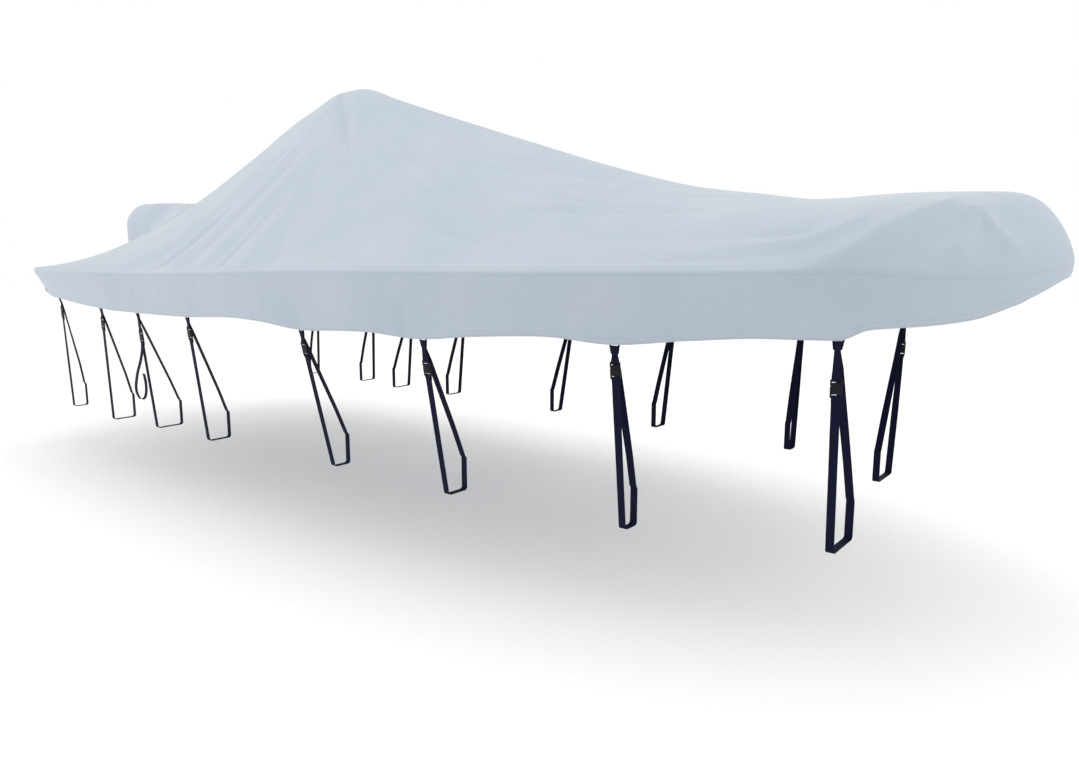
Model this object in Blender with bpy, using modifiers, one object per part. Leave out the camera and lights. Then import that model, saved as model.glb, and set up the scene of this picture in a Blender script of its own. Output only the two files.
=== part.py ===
"""Fitted cover for a centre-console boat, as it hangs on the boat: a tent of cloth over the console, the motor and
the bow, a skirt with a scalloped hem, and webbing straps that loop round the rails of a trailer.

The boat and the trailer are left out. Metres, +X to the bow, +Y to port, +Z up. The origin is on the underside of
the peak, where the boat carries the cover.
"""

import math

import bmesh
import bpy
from mathutils import Matrix, Vector

# Cloth and seams
CLOTH = 0.002
SEAM_GAP = 0.0003
BOW_SEAM_GAP = 0.0009
SEAM_DROP = 0.003  # from the end of the gunwale's roll down to the seam
FOLD_FADE = 0.05  # the folds die out over this height above the gunwale
PORT_FOLD_SHIFT = 0.13  # the port side's folds lie this much further aft
PORT_FOLD_SHARE = 0.8
PORT_BLEND_Y = 0.20  # the folds pass from the starboard side's to the port side's over this width

# Plan of the gunwale
TRANSOM_X = -2.10
BOW_X = 3.62
BOW_START_X = 0.62
HALF_BEAM = 1.10
STERN_HALF_BEAM = 1.08
STERN_TAPER_X = -0.38
STERN_CORNER = 0.06
BOW_LENGTH_POWER = 2.6
BOW_WIDTH_POWER = 1.8
FAN_X = 2.90  # forward of this the cloth fans out from the end of the ridge
TRANSOM_RIDGE = (-1.86, -1.50)  # where the transom's rows leave the ridge: its middle's and its corner's
ROLL_STEPS = (0.35, 0.7)  # points of the rolled edge

# Rows and columns of the cloth's grid
BOW_ROWS = 24
SIDE_ROWS = 32
CORNER_ROWS = 4
TRANSOM_ROWS = 8
TOP_COLUMNS = 12
SKIRT_COLUMNS = 3

# Motor hood
HOOD_HALF_WIDTH = 0.235
HOOD_AFT_X = -2.552
HOOD_TOP_Z = -0.576
HOOD_HEM_Z = -1.215
HOOD_FRONT_CORNER = 0.03
HOOD_AFT_CORNER = 0.12
HOOD_SHOULDER = 0.17
HOOD_FRONT_SHOULDER = 0.05
HOOD_SHOULDER_SHARE = 0.8  # of the way in to the spine, the most that a shoulder takes
HOOD_SPINE_FRONT = 0.10  # the hood's top runs to a spine that starts this far aft of the transom
HOOD_SPINE_AFT = 0.16  # and ends this far from the aft face
HOOD_CROWN = 0.003
HOOD_COLUMNS = 4  # along half the front and along each side
HOOD_LAP = 0.050  # below the transom's edge, over the rolled edge of the top

# Webbing and its fittings
WEB_WIDTH = 0.030
WEB_NECK = 0.016  # the strap bunches to this where it passes through its hem loop
WEB_NECK_REACH = 0.055
WEB_THICK = 0.002
INNER_BENDS = (0.12, 0.5)  # of the way down the inner run, where a row of points lets the webbing turn
TWIST_START = 0.20  # below the buckle the strap turns from the hem's line to the boat's
TWIST_REACH = 0.25
FIT = 0.0004
LOOP_GAP = 0.0008  # between the skirt's back and the loop sewn behind it
LOOP_RISE = 0.026  # how far a hem loop goes up behind the skirt
LOOP_DROP = 0.036
LOOP_TOP_WIDTH = 0.040
LOOP_END_WIDTH = 0.027
LOOP_LEG = 0.0055
LOOP_BAR = 0.008
LOOP_HOLE_TOP = 0.008
BUCKLE_LENGTH = 0.062
BUCKLE_WIDTH = 0.038
BUCKLE_THICK = 0.011
BUCKLE_EDGE = 0.002
BUCKLE_POCKET = 0.008
POCKET_REST = 0.0022  # from the end of the webbing to the bottom of its pocket
BUCKLE_RIM = 0.0016

# Trailer rails that the straps go round
RAIL_TOP_Z = -1.795
RAIL_BOTTOM_Z = -1.945
RAIL_CORNER = 0.008

# Ridge line of the cloth, from the motor over the peak to the bow
RIDGE = {
    "columns": ("x", "z"),
    "rows": (
        (-2.10, -0.642),
        (-1.90, -0.594),
        (-1.00, -0.276),
        (-0.66, -0.141),
        (-0.41, -0.062),
        (-0.25, -0.010),
        (-0.16, 0.006),
        (0.00, 0.003),
        (0.09, -0.012),
        (0.30, -0.085),
        (1.21, -0.373),
        (1.91, -0.582),
        (2.22, -0.655),
        (2.49, -0.692),
        (2.77, -0.725),
        (3.14, -0.718),
        (3.34, -0.721),
    ),
}

# Sections: height of the gunwale, how round the ridge is (1 is sharp), how hollow the side is (1 is straight), and
# how far the gunwale's roll reaches up the top and down the skirt
SECTIONS = {
    "columns": ("x", "gunwale_z", "ridge_round", "hollow", "roll"),
    "rows": (
        (-2.10, -1.032, 1.00, 1.80, 0.045),
        (-1.75, -1.038, 1.04, 1.60, 0.022),
        (-1.30, -1.036, 1.06, 1.40, 0.010),
        (-0.46, -1.030, 1.08, 1.20, 0.010),
        (0.00, -1.022, 1.08, 1.15, 0.010),
        (0.47, -1.009, 1.10, 1.12, 0.010),
        (0.85, -0.999, 1.12, 1.10, 0.010),
        (1.94, -0.986, 1.35, 1.08, 0.010),
        (2.90, -0.980, 2.10, 1.05, 0.010),
        (3.10, -0.982, 2.80, 0.80, 0.014),
        (3.30, -0.986, 3.12, 0.69, 0.024),
        (3.45, -0.977, 3.15, 0.86, 0.034),
        (3.55, -0.962, 3.52, 1.02, 0.036),
        (3.62, -0.946, 3.62, 1.10, 0.036),
    ),
}

# Where each row of the cloth's grid leaves the ridge
FAN = {
    "columns": ("edge_x", "ridge_x"),
    "rows": (
        (-2.10, -1.50),
        (-1.60, -0.80),
        (-0.90, -0.36),
        (0.00, 0.00),
        (0.90, 0.40),
        (1.60, 1.00),
        (2.20, 1.90),
        (2.60, 2.50),
        (2.90, 2.85),
        (3.20, 3.05),
        (3.45, 3.20),
        (3.62, 3.32),
    ),
}

# Scalloped hem, low where a strap pulls it: its height, and how far it is tucked in under the gunwale
HEM = {
    "columns": ("x", "z", "tuck"),
    "rows": (
        (-2.10, -1.190, 0.090),
        (-1.94, -1.222, 0.075),
        (-1.70, -1.237, 0.058),
        (-1.34, -1.256, 0.038),
        (-1.18, -1.264, 0.040),
        (-1.02, -1.271, 0.040),
        (-0.73, -1.272, 0.040),
        (-0.34, -1.270, 0.034),
        (-0.19, -1.268, 0.036),
        (0.26, -1.250, 0.028),
        (0.46, -1.255, 0.028),
        (0.78, -1.280, 0.040),
        (1.08, -1.266, 0.030),
        (1.24, -1.262, 0.029),
        (1.50, -1.276, 0.040),
        (1.80, -1.250, 0.030),
        (2.12, -1.234, 0.029),
        (2.35, -1.252, 0.040),
        (2.62, -1.227, 0.030),
        (2.86, -1.212, 0.030),
        (3.07, -1.214, 0.038),
        (3.15, -1.178, 0.032),
        (3.30, -1.164, 0.030),
        (3.41, -1.141, 0.028),
        (3.50, -1.099, 0.025),
        (3.57, -1.048, 0.022),
        (3.62, -1.020, 0.016),
    ),
}

# The stern's hem, from the motor hood out to the corner
STERN_HEM = {
    "columns": ("y", "z", "tuck"),
    "rows": ((0.00, -1.205, 0.000), (0.40, -1.215, 0.000), (0.85, -1.205, 0.060), (1.08, -1.190, 0.090)),
}

# Folds of the starboard top, in plan: where each starts and ends, its height (a trough's is negative) and half width
FOLDS = {
    "columns": ("from_x", "from_y", "to_x", "to_y", "height", "width"),
    "rows": (
        (-0.35, -0.16, -0.98, -1.00, 0.018, 0.070),  # aft slope, from the peak down to the gunwale
        (-0.45, -0.25, -1.12, -1.08, -0.014, 0.055),
        (-0.35, -0.25, -0.77, -1.08, -0.014, 0.050),
        (-0.25, -0.25, -0.62, -1.05, 0.014, 0.055),
        (-0.30, -0.30, -0.48, -1.08, -0.016, 0.050),
        (-0.15, -0.30, -0.36, -1.04, 0.016, 0.060),
        (0.00, -0.42, -0.24, -1.06, -0.018, 0.055),
        (0.02, -0.50, -0.04, -1.05, 0.014, 0.060),
        (0.18, -0.72, 0.13, -1.06, -0.013, 0.050),
        (0.38, -0.78, 0.55, -1.02, -0.009, 0.050),
        (-0.06, -0.10, 0.34, -0.40, -0.022, 0.045),  # crease at the peak's corner
        (0.20, -0.16, 1.55, -0.63, 0.016, 0.070),  # forward slope
        (0.20, -0.21, 1.68, -0.77, -0.016, 0.055),
        (0.42, -0.20, 1.25, -0.50, -0.011, 0.045),
        (1.05, -0.64, 1.65, -0.84, -0.011, 0.050),
        (0.40, -0.08, 1.20, -0.18, 0.010, 0.050),
        (1.10, -0.20, 2.10, -0.22, -0.009, 0.045),
        (1.75, -0.52, 2.45, -0.41, -0.009, 0.060),
        (2.50, -0.82, 3.06, -0.49, 0.010, 0.050),  # bow
        (2.60, -0.84, 3.10, -0.57, -0.010, 0.045),
        (3.24, -0.34, 2.93, -0.73, 0.030, 0.050),
        (3.33, -0.34, 3.02, -0.72, -0.028, 0.055),
        (3.29, -0.31, 3.37, -0.28, 0.010, 0.045),
        (3.36, -0.32, 3.33, -0.48, -0.016, 0.045),
        (3.40, -0.28, 3.50, -0.30, -0.014, 0.040),
    ),
}

# Straps, stern first: where the strap hangs, its rail's outer and inner sides, how far aft the port side's strap
# hangs, and how far below the hem the middle of the buckle is
STRAPS = {
    "columns": ("name", "x", "rail_out", "rail_in", "port_shift", "buckle_drop"),
    "rows": (
        ("1", -1.83, 0.985, 0.900, 0.00, 0.091),
        ("2", -1.18, 1.030, 0.900, 0.00, 0.090),
        ("3", -0.73, 0.990, 0.840, 0.00, 0.136),
        ("4", -0.19, 0.985, 0.860, 0.00, 0.088),
        ("5", 0.78, 0.910, 0.820, 0.00, 0.089),
        ("6", 1.54, 0.912, 0.802, 0.00, 0.120),
        ("7", 2.37, 0.828, 0.750, 0.00, 0.093),
        ("8", 3.07, 0.605, 0.410, 0.15, 0.161),
    ),
}

# The third strap's free tail, from its buckle down and back up: how far out from the strap's outer run, and its height
TAIL_STRAP = "3"
TAIL = {
    "columns": ("out", "z"),
    "rows": (
        (0.0024, -1.445),
        (0.014, -1.480),
        (0.045, -1.540),
        (0.080, -1.620),
        (0.100, -1.700),
        (0.098, -1.755),
        (0.078, -1.790),
        (0.050, -1.782),
        (0.034, -1.740),
        (0.028, -1.680),
        (0.030, -1.620),
    ),
}


def column(table, name):
    """One column of a table, as a list."""
    at = table["columns"].index(name)
    return [row[at] for row in table["rows"]]


def read(table, name, where):
    """A smooth curve through one column, read at a place in the first column. It never overshoots its rows."""
    places = column(table, table["columns"][0])
    values = column(table, name)
    where = min(max(where, places[0]), places[-1])
    slopes = [(b - a) / (q - p) for a, b, p, q in zip(values, values[1:], places, places[1:])]
    ends = [slopes[0]]
    for before, after in zip(slopes, slopes[1:]):
        ends.append(2 * before * after / (before + after) if before * after > 0 else 0.0)
    ends.append(slopes[-1])
    span = max(i for i, place in enumerate(places[:-1]) if place <= where)
    width = places[span + 1] - places[span]
    s = (where - places[span]) / width
    return (
        values[span] * (1 + 2 * s) * (1 - s) ** 2
        + values[span + 1] * s**2 * (3 - 2 * s)
        + width * ends[span] * s * (1 - s) ** 2
        - width * ends[span + 1] * s**2 * (1 - s)
    )


def mix(a, b, s):
    return a + (b - a) * s


# ---------------------------------------------------------------- form of the cloth


def half_beam(x):
    """Half the cover's width at the gunwale, without the round of the stern's corners."""
    bow = min(max((x - BOW_START_X) / (BOW_X - BOW_START_X), 0.0), 1.0)
    stern = min(max((STERN_TAPER_X - x) / (STERN_TAPER_X - TRANSOM_X), 0.0), 1.0)
    beam = HALF_BEAM * (1 - bow**BOW_LENGTH_POWER) ** (1 / BOW_WIDTH_POWER)
    return beam - (HALF_BEAM - STERN_HALF_BEAM) * stern**2


def cornered_half_beam(x):
    """The same, drawn in along the round corner of the stern."""
    into = min(max((TRANSOM_X + STERN_CORNER - x) / STERN_CORNER, 0.0), 1.0)
    return half_beam(x) - STERN_CORNER * (1 - math.sqrt(1 - into**2))


def top_height(x, y):
    """Height of the tent over a plan point, aft of the bow's fan."""
    out = min(abs(y) / cornered_half_beam(x), 1.0)
    gunwale = read(SECTIONS, "gunwale_z", x)
    shape = (1 - out ** read(SECTIONS, "ridge_round", x)) ** read(SECTIONS, "hollow", x)
    return mix(gunwale, read(RIDGE, "z", x), shape)


def relief(point):
    """How far the folds lift the cloth at a point of the top."""
    x = point.x
    share = 1.0
    if point.y > 0:
        across = min(point.y / PORT_BLEND_Y, 1.0)
        x += PORT_FOLD_SHIFT * across
        share = mix(1.0, PORT_FOLD_SHARE, across)
    lift = 0.0
    for from_x, from_y, to_x, to_y, height, width in FOLDS["rows"]:
        start = Vector((from_x, from_y))
        along = Vector((to_x, to_y)) - start
        reach = Vector((x, -abs(point.y))) - start
        s = min(max(reach.dot(along) / along.length_squared, 0.0), 1.0)
        off = (reach - along * s).length / width
        lift += height * math.exp(-(off**2))
    above = (point.z - read(SECTIONS, "gunwale_z", point.x)) / FOLD_FADE
    return lift * share * min(max(above, 0.0), 1.0)


def gunwale_edges():
    """Plan points of the starboard gunwale, from the bow's tip round the stern's corner to the middle of the
    transom, each with the x where its row leaves the ridge."""
    edges = []
    for i in range(BOW_ROWS):
        turn = math.radians(90 * (1 - i / BOW_ROWS))
        x = BOW_START_X + (BOW_X - BOW_START_X) * math.sin(turn) ** (2 / BOW_LENGTH_POWER)
        edges.append((x, -half_beam(x) if i else 0.0, read(FAN, "ridge_x", x)))
    corner_x = TRANSOM_X + STERN_CORNER
    for i in range(SIDE_ROWS):
        x = mix(BOW_START_X, corner_x, i / SIDE_ROWS)
        edges.append((x, -half_beam(x), read(FAN, "ridge_x", x)))
    corner_y = STERN_HALF_BEAM - STERN_CORNER
    for i in range(CORNER_ROWS):
        turn = math.radians(90 * i / CORNER_ROWS)
        x = corner_x - STERN_CORNER * math.sin(turn)
        edges.append((x, -corner_y - STERN_CORNER * math.cos(turn), read(FAN, "ridge_x", x)))
    for i in range(TRANSOM_ROWS + 1):
        y = corner_y * (1 - i / TRANSOM_ROWS)
        edges.append((TRANSOM_X, -y, mix(*TRANSOM_RIDGE, y / corner_y)))
    return edges


def inward(edges, i):
    """The gunwale's horizontal normal at a row, pointing into the boat."""
    if i == 0:
        return Vector((-1.0, 0.0, 0.0))
    if i >= len(edges) - TRANSOM_ROWS:
        return Vector((1.0, 0.0, 0.0))
    after = edges[min(i + 1, len(edges) - 1)]
    before = edges[i - 1]
    return Vector((after[1] - before[1], before[0] - after[0], 0.0)).normalized()


def top_point(edge, s):
    """A point of the top on the way out from the ridge (s = 0) to the gunwale (s = 1)."""
    edge_x, edge_y, ridge_x = edge
    x = mix(ridge_x, edge_x, s)
    y = edge_y * s
    if edge_x <= FAN_X:
        return Vector((x, y, top_height(x, y)))
    shape = (1 - s ** read(SECTIONS, "ridge_round", edge_x)) ** read(SECTIONS, "hollow", edge_x)
    return Vector((x, y, mix(read(SECTIONS, "gunwale_z", edge_x), read(RIDGE, "z", ridge_x), shape)))


def skirt_line(edges, i):
    """The gunwale point of a row, the unit vector down the skirt, and the skirt's depth."""
    x, y, _ = edges[i]
    gunwale = top_point(edges[i], 1.0)
    at_stern = i >= len(edges) - TRANSOM_ROWS - 1
    hem_z = read(STERN_HEM, "z", -y) if at_stern else read(HEM, "z", x)
    tuck = read(STERN_HEM, "tuck", -y) if at_stern else read(HEM, "tuck", x)
    down = inward(edges, i) * tuck + Vector((0.0, 0.0, hem_z - gunwale.z))
    return gunwale, down.normalized(), down.length


def top_row(edges, i):
    """All the points of one row of the top, out over the rolled edge and down to the seam."""
    gunwale, down, _ = skirt_line(edges, i)
    x, y, ridge_x = edges[i]
    roll = read(SECTIONS, "roll", x)
    last = 1 - roll / math.hypot(x - ridge_x, y)
    row = [top_point(edges[i], last * j / TOP_COLUMNS) for j in range(TOP_COLUMNS + 1)]
    start = row[-1]
    end = gunwale + down * roll
    for s in ROLL_STEPS:
        row.append(start * (1 - s) ** 2 + gunwale * 2 * s * (1 - s) + end * s**2)
    row.append(end)
    row.append(gunwale + down * (roll + SEAM_DROP))
    return row


def skirt_row(edges, i):
    """The points of one row of the skirt, from the seam to the hem."""
    gunwale, down, depth = skirt_line(edges, i)
    start = read(SECTIONS, "roll", edges[i][0]) + SEAM_DROP + SEAM_GAP
    return [gunwale + down * mix(start, depth, j / SKIRT_COLUMNS) for j in range(SKIRT_COLUMNS + 1)]


def side_line(edges, x):
    """The seam's and the hem's point at a place along the starboard side."""
    i = max(i for i, edge in enumerate(edges) if edge[0] >= x)
    s = (edges[i][0] - x) / (edges[i][0] - edges[i + 1][0])
    fore, aft = (skirt_row(edges, k) for k in (i, i + 1))
    return fore[0].lerp(aft[0], s), fore[-1].lerp(aft[-1], s)


def hem_frame(edges, x):
    """The starboard hem where a loop is sewn to it: its middle, the way down the skirt, the way out of the boat and
    the way along the hem."""
    fore_seam, fore_hem = side_line(edges, x + LOOP_TOP_WIDTH / 2)
    aft_seam, aft_hem = side_line(edges, x - LOOP_TOP_WIDTH / 2)
    hem = (fore_hem + aft_hem) / 2
    down = (hem - (fore_seam + aft_seam) / 2).normalized()
    outward = down.cross(fore_hem - aft_hem).normalized()
    return hem, down, outward, outward.cross(down)


# ---------------------------------------------------------------- making objects


def clear_scene():
    for old in list(bpy.data.objects):
        bpy.data.objects.remove(old, do_unlink=True)


def make_collection(name):
    made = bpy.data.collections.new(name)
    bpy.context.scene.collection.children.link(made)
    return made


def make_material(name, colour, roughness, metallic=0.0):
    material = bpy.data.materials.new(name)
    material.use_nodes = True
    shader = material.node_tree.nodes["Principled BSDF"]
    shader.inputs["Base Color"].default_value = (*colour, 1.0)
    shader.inputs["Roughness"].default_value = roughness
    shader.inputs["Metallic"].default_value = metallic
    material.diffuse_color = (*colour, 1.0)
    return material


def add_grid(mesh, rows, port):
    """Adds an open sheet through rows of starboard points, which run from bow to stern. The sheet faces out."""
    side = -1 if port else 1
    points = [[mesh.verts.new((p.x, p.y * side, p.z)) for p in row] for row in rows]
    for row, following in zip(points, points[1:]):
        for a, b, c, d in zip(row, row[1:], following[1:], following):
            mesh.faces.new((a, b, c, d) if port else (d, c, b, a))


def finish_mesh(mesh, name, smooth=True):
    made = bpy.data.meshes.new(name)
    mesh.to_mesh(made)
    mesh.free()
    if smooth:
        made.shade_smooth()
    return made


def grid_mesh(name, rows, port=False):
    mesh = bmesh.new()
    add_grid(mesh, rows, port)
    return finish_mesh(mesh, name)


def add_object(name, data, material, collection):
    made = bpy.data.objects.new(name, data)
    if not data.materials:
        data.materials.append(material)
    collection.objects.link(made)
    return made


def thicken(sheet, thickness, offset):
    solid = sheet.modifiers.new("Thickness", "SOLIDIFY")
    solid.thickness = thickness
    solid.offset = offset
    solid.use_even_offset = False


def mirror(sheet):
    halves = sheet.modifiers.new("Port half", "MIRROR")
    halves.use_axis = (False, True, False)
    halves.merge_threshold = 0.0001


def make_top(edges, cloth, collection):
    """The top panel, from gunwale to gunwale, with its folds."""
    mesh = bmesh.new()
    rows = [top_row(edges, i) for i in range(len(edges))]
    add_grid(mesh, rows, False)
    add_grid(mesh, rows, True)
    bmesh.ops.remove_doubles(mesh, verts=mesh.verts, dist=0.00001)
    mesh.normal_update()
    lifts = [vertex.normal * relief(vertex.co) for vertex in mesh.verts]
    for vertex, lift in zip(mesh.verts, lifts):
        vertex.co += lift
    top = add_object("top_panel", finish_mesh(mesh, "top_panel"), cloth, collection)
    thicken(top, CLOTH, -1)


def make_skirts(edges, cloth, collection):
    """A skirt down each side, from the bow's seam round the stern's corner, and the stern panel between them and
    the motor hood, in two halves."""
    seam_row = len(edges) - TRANSOM_ROWS
    hood_y = HOOD_HALF_WIDTH - HOOD_FRONT_CORNER
    for port in (False, True):
        side = "port" if port else "starboard"
        rows = [skirt_row(edges, i) for i in range(seam_row + 1)]
        rows[0] = [p - Vector((0.0, BOW_SEAM_GAP / 2, 0.0)) for p in rows[0]]
        rows[-1] = [p - Vector((0.0, SEAM_GAP, 0.0)) for p in rows[-1]]
        skirt = add_object(f"skirt_{side}", grid_mesh("skirt", rows, port), cloth, collection)
        thicken(skirt, CLOTH, -1)
        stern = [i for i in range(seam_row, len(edges)) if -edges[i][1] > hood_y]
        rows = [skirt_row(edges, i) for i in stern]
        ending = (TRANSOM_X, -hood_y, TRANSOM_RIDGE[0])
        rows.append(skirt_row(edges[: stern[-1] + 1] + [ending], stern[-1] + 1))
        panel = add_object(f"stern_panel_{side}", grid_mesh("stern_panel", rows, port), cloth, collection)
        thicken(panel, CLOTH, -1)


def hood_outline():
    """Plan points of the motor hood's starboard half, from the middle of its front round to the middle of its aft
    face, each with the radius of the shoulder over it and whether it stands over the transom's edge."""
    front = TRANSOM_X - SEAM_GAP
    inner = HOOD_HALF_WIDTH - HOOD_FRONT_CORNER
    outer = HOOD_HALF_WIDTH - HOOD_AFT_CORNER
    points = [(front, -inner * i / HOOD_COLUMNS, HOOD_FRONT_SHOULDER, True) for i in range(HOOD_COLUMNS + 1)]
    for degrees in (30, 60, 90):
        turn = math.radians(degrees)
        x = front - HOOD_FRONT_CORNER * (1 - math.cos(turn))
        points.append((x, -inner - HOOD_FRONT_CORNER * math.sin(turn), HOOD_FRONT_SHOULDER, False))
    side_aft = HOOD_AFT_X + HOOD_AFT_CORNER
    side_start = front - HOOD_FRONT_CORNER
    for i in range(1, HOOD_COLUMNS + 1):
        s = i / HOOD_COLUMNS
        shoulder = mix(HOOD_FRONT_SHOULDER, HOOD_SHOULDER, s)
        points.append((mix(side_start, side_aft, s), -HOOD_HALF_WIDTH, shoulder, False))
    for degrees in (22, 45, 68, 90):
        turn = math.radians(degrees)
        x = side_aft - HOOD_AFT_CORNER * math.sin(turn)
        points.append((x, -outer - HOOD_AFT_CORNER * math.cos(turn), HOOD_SHOULDER, False))
    points.append((HOOD_AFT_X, -outer / 2, HOOD_SHOULDER, False))
    points.append((HOOD_AFT_X, 0.0, HOOD_SHOULDER, False))
    return points


def hood_column(x, y, shoulder, on_transom):
    """One column of the hood, from its hem up the wall, over the shoulder and in to the middle of its top."""
    low = top_height(TRANSOM_X, y) - HOOD_LAP if on_transom else HOOD_HEM_Z
    aft = (TRANSOM_X - x) / (TRANSOM_X - HOOD_AFT_X)
    spine_x = mix(TRANSOM_X - HOOD_SPINE_FRONT, HOOD_AFT_X + HOOD_SPINE_AFT, aft)
    inwards = Vector((spine_x - x, -y, 0.0))
    reach = min(shoulder, HOOD_SHOULDER_SHARE * inwards.length)
    spring = HOOD_TOP_Z - shoulder
    rise = HOOD_TOP_Z - spring
    foot = Vector((x, y, 0.0))
    points = [foot + Vector((0.0, 0.0, mix(low, spring, i / 3))) for i in range(4)]
    for degrees in (30, 60, 90):
        turn = math.radians(degrees)
        step = inwards.normalized() * reach * (1 - math.cos(turn))
        points.append(foot + step + Vector((0.0, 0.0, spring + rise * math.sin(turn))))
    points.append(Vector((mix(points[-1].x, spine_x, 0.5), points[-1].y / 2, HOOD_TOP_Z + HOOD_CROWN * 0.7)))
    points.append(Vector((spine_x, 0.0, HOOD_TOP_Z + HOOD_CROWN)))
    return points


def make_hood(cloth, collection):
    """The motor hood, sewn to the transom's edge."""
    rows = [hood_column(*point)[::-1] for point in hood_outline()]
    hood = add_object("motor_hood", grid_mesh("motor_hood", rows), cloth, collection)
    mirror(hood)
    thicken(hood, CLOTH, -1)


# ---------------------------------------------------------------- webbing and its fittings


def flip(vector):
    """A starboard vector on the port side."""
    return Vector((vector.x, -vector.y, vector.z))


def placed(origin, x_axis, y_axis):
    """The matrix of a piece drawn on an x and a y axis. The y axis is made square to the x axis."""
    z_axis = x_axis.cross(y_axis).normalized()
    turn = Matrix((x_axis, z_axis.cross(x_axis), z_axis)).transposed()
    return Matrix.Translation(origin) @ turn.to_4x4()


def loop_outlines():
    """The hem loop's outline and its hole: x along the hem, y down."""
    taper = (LOOP_TOP_WIDTH - LOOP_END_WIDTH) / 2 / LOOP_DROP
    half = LOOP_TOP_WIDTH / 2
    outer = [(-half, -LOOP_RISE), (half, -LOOP_RISE), (half, 0.0)]
    outer += [(LOOP_END_WIDTH / 2, LOOP_DROP), (-LOOP_END_WIDTH / 2, LOOP_DROP), (-half, 0.0)]
    hole = []
    for side, y in ((-1, LOOP_HOLE_TOP), (1, LOOP_HOLE_TOP), (1, LOOP_DROP - LOOP_BAR), (-1, LOOP_DROP - LOOP_BAR)):
        hole.append((side * (half - taper * y - LOOP_LEG), y))
    return outer, hole


def make_loop(name, hem, down, outward, along, webbing, collection):
    """A flat ring of webbing, sewn behind the hem, that the strap passes through."""
    data = bpy.data.curves.new(name, "CURVE")
    data.dimensions = "2D"
    data.fill_mode = "BOTH"
    data.extrude = WEB_THICK / 2
    for outline in loop_outlines():
        spline = data.splines.new("POLY")
        spline.points.add(len(outline) - 1)
        for point, (x, y) in zip(spline.points, outline):
            point.co = (x, y, 0.0, 1.0)
        spline.use_cyclic_u = True
    loop = add_object(name, data, webbing, collection)
    loop.matrix_world = placed(loop_middle(hem, outward), along, down)


def loop_middle(hem, outward):
    """The hem's point moved to the middle of the loop behind it."""
    return hem - outward * (CLOTH + LOOP_GAP + WEB_THICK / 2)


def strap_runs(frame, rail_out, rail_in):
    """The strap's two runs from the loop's bar to the rail, as (start, end): the outer and the inner one."""
    hem, down, outward, _ = frame
    bar_end = loop_middle(hem, outward) + down * LOOP_DROP
    off_bar = outward * (WEB_THICK + FIT)
    outer = (bar_end + off_bar, Vector((hem.x, -rail_out, RAIL_BOTTOM_Z + RAIL_CORNER)))
    inner = (bar_end - off_bar, Vector((hem.x, -rail_in, RAIL_TOP_Z - RAIL_CORNER)))
    return outer, inner


def buckle_ends(run, hem, drop):
    """The two ends of the buckle on the outer run, upper first."""
    start, end = run
    way = (end - start).normalized()
    middle = start + way * ((hem.z - drop - start.z) / way.z)
    return middle - way * BUCKLE_LENGTH / 2, middle + way * BUCKLE_LENGTH / 2


def strap_points(frame, rail_out, rail_in, drop):
    """The middle of the strap, from the buckle's upper end over the loop's bar, down and round the rail, and up to
    the buckle's lower end."""
    hem, down, outward, _ = frame
    outer, inner = strap_runs(frame, rail_out, rail_in)
    upper, lower = buckle_ends(outer, hem, drop)
    way = (outer[1] - outer[0]).normalized()
    into = way * (BUCKLE_POCKET - POCKET_REST)
    middle = loop_middle(hem, outward)
    off_bar = outward * (WEB_THICK + FIT)
    above = middle + down * (LOOP_DROP - LOOP_BAR - FIT)
    top = above - down * WEB_THICK / 2
    off_top = outward * (FIT + WEB_THICK / 2)
    points = [upper + into, upper.lerp(outer[0], 0.5), outer[0], above + off_bar, top + off_top]
    points += [top - off_top, above - off_bar, inner[0]]
    points += [inner[0].lerp(inner[1], s) for s in INNER_BENDS]
    x = hem.x
    points.append(inner[1] + Vector((0.0, -RAIL_CORNER, RAIL_CORNER)))
    points.append(inner[1])
    points.append(Vector((x, -rail_in, RAIL_BOTTOM_Z + RAIL_CORNER)))
    points.append(Vector((x, -rail_in - RAIL_CORNER, RAIL_BOTTOM_Z)))
    points.append(Vector((x, -rail_out + RAIL_CORNER, RAIL_BOTTOM_Z)))
    points.append(outer[1])
    points.append(outer[1].lerp(lower, 0.5))
    points.append(lower + into / 2)
    points.append(lower - into)
    return points


def web_rows(points, hem, along):
    """The two edges of a strap along its middle. It is narrow near the hem's loop, and lies along the hem there and
    along the boat at the rail."""
    rows = []
    for point in points:
        down = hem.z - point.z
        neck = min(max((down - LOOP_DROP) / WEB_NECK_REACH, 0.0), 1.0)
        half = mix(WEB_NECK, WEB_WIDTH, neck) / 2
        turn = min(max((down - TWIST_START) / TWIST_REACH, 0.0), 1.0)
        across = along.lerp(Vector((1.0, 0.0, 0.0)), turn).normalized()
        rows.append([point - across * half, point + across * half])
    return rows


def make_web(name, rows, port, webbing, collection):
    web = add_object(name, grid_mesh(name, rows, port), webbing, collection)
    thicken(web, WEB_THICK, 0)


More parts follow.
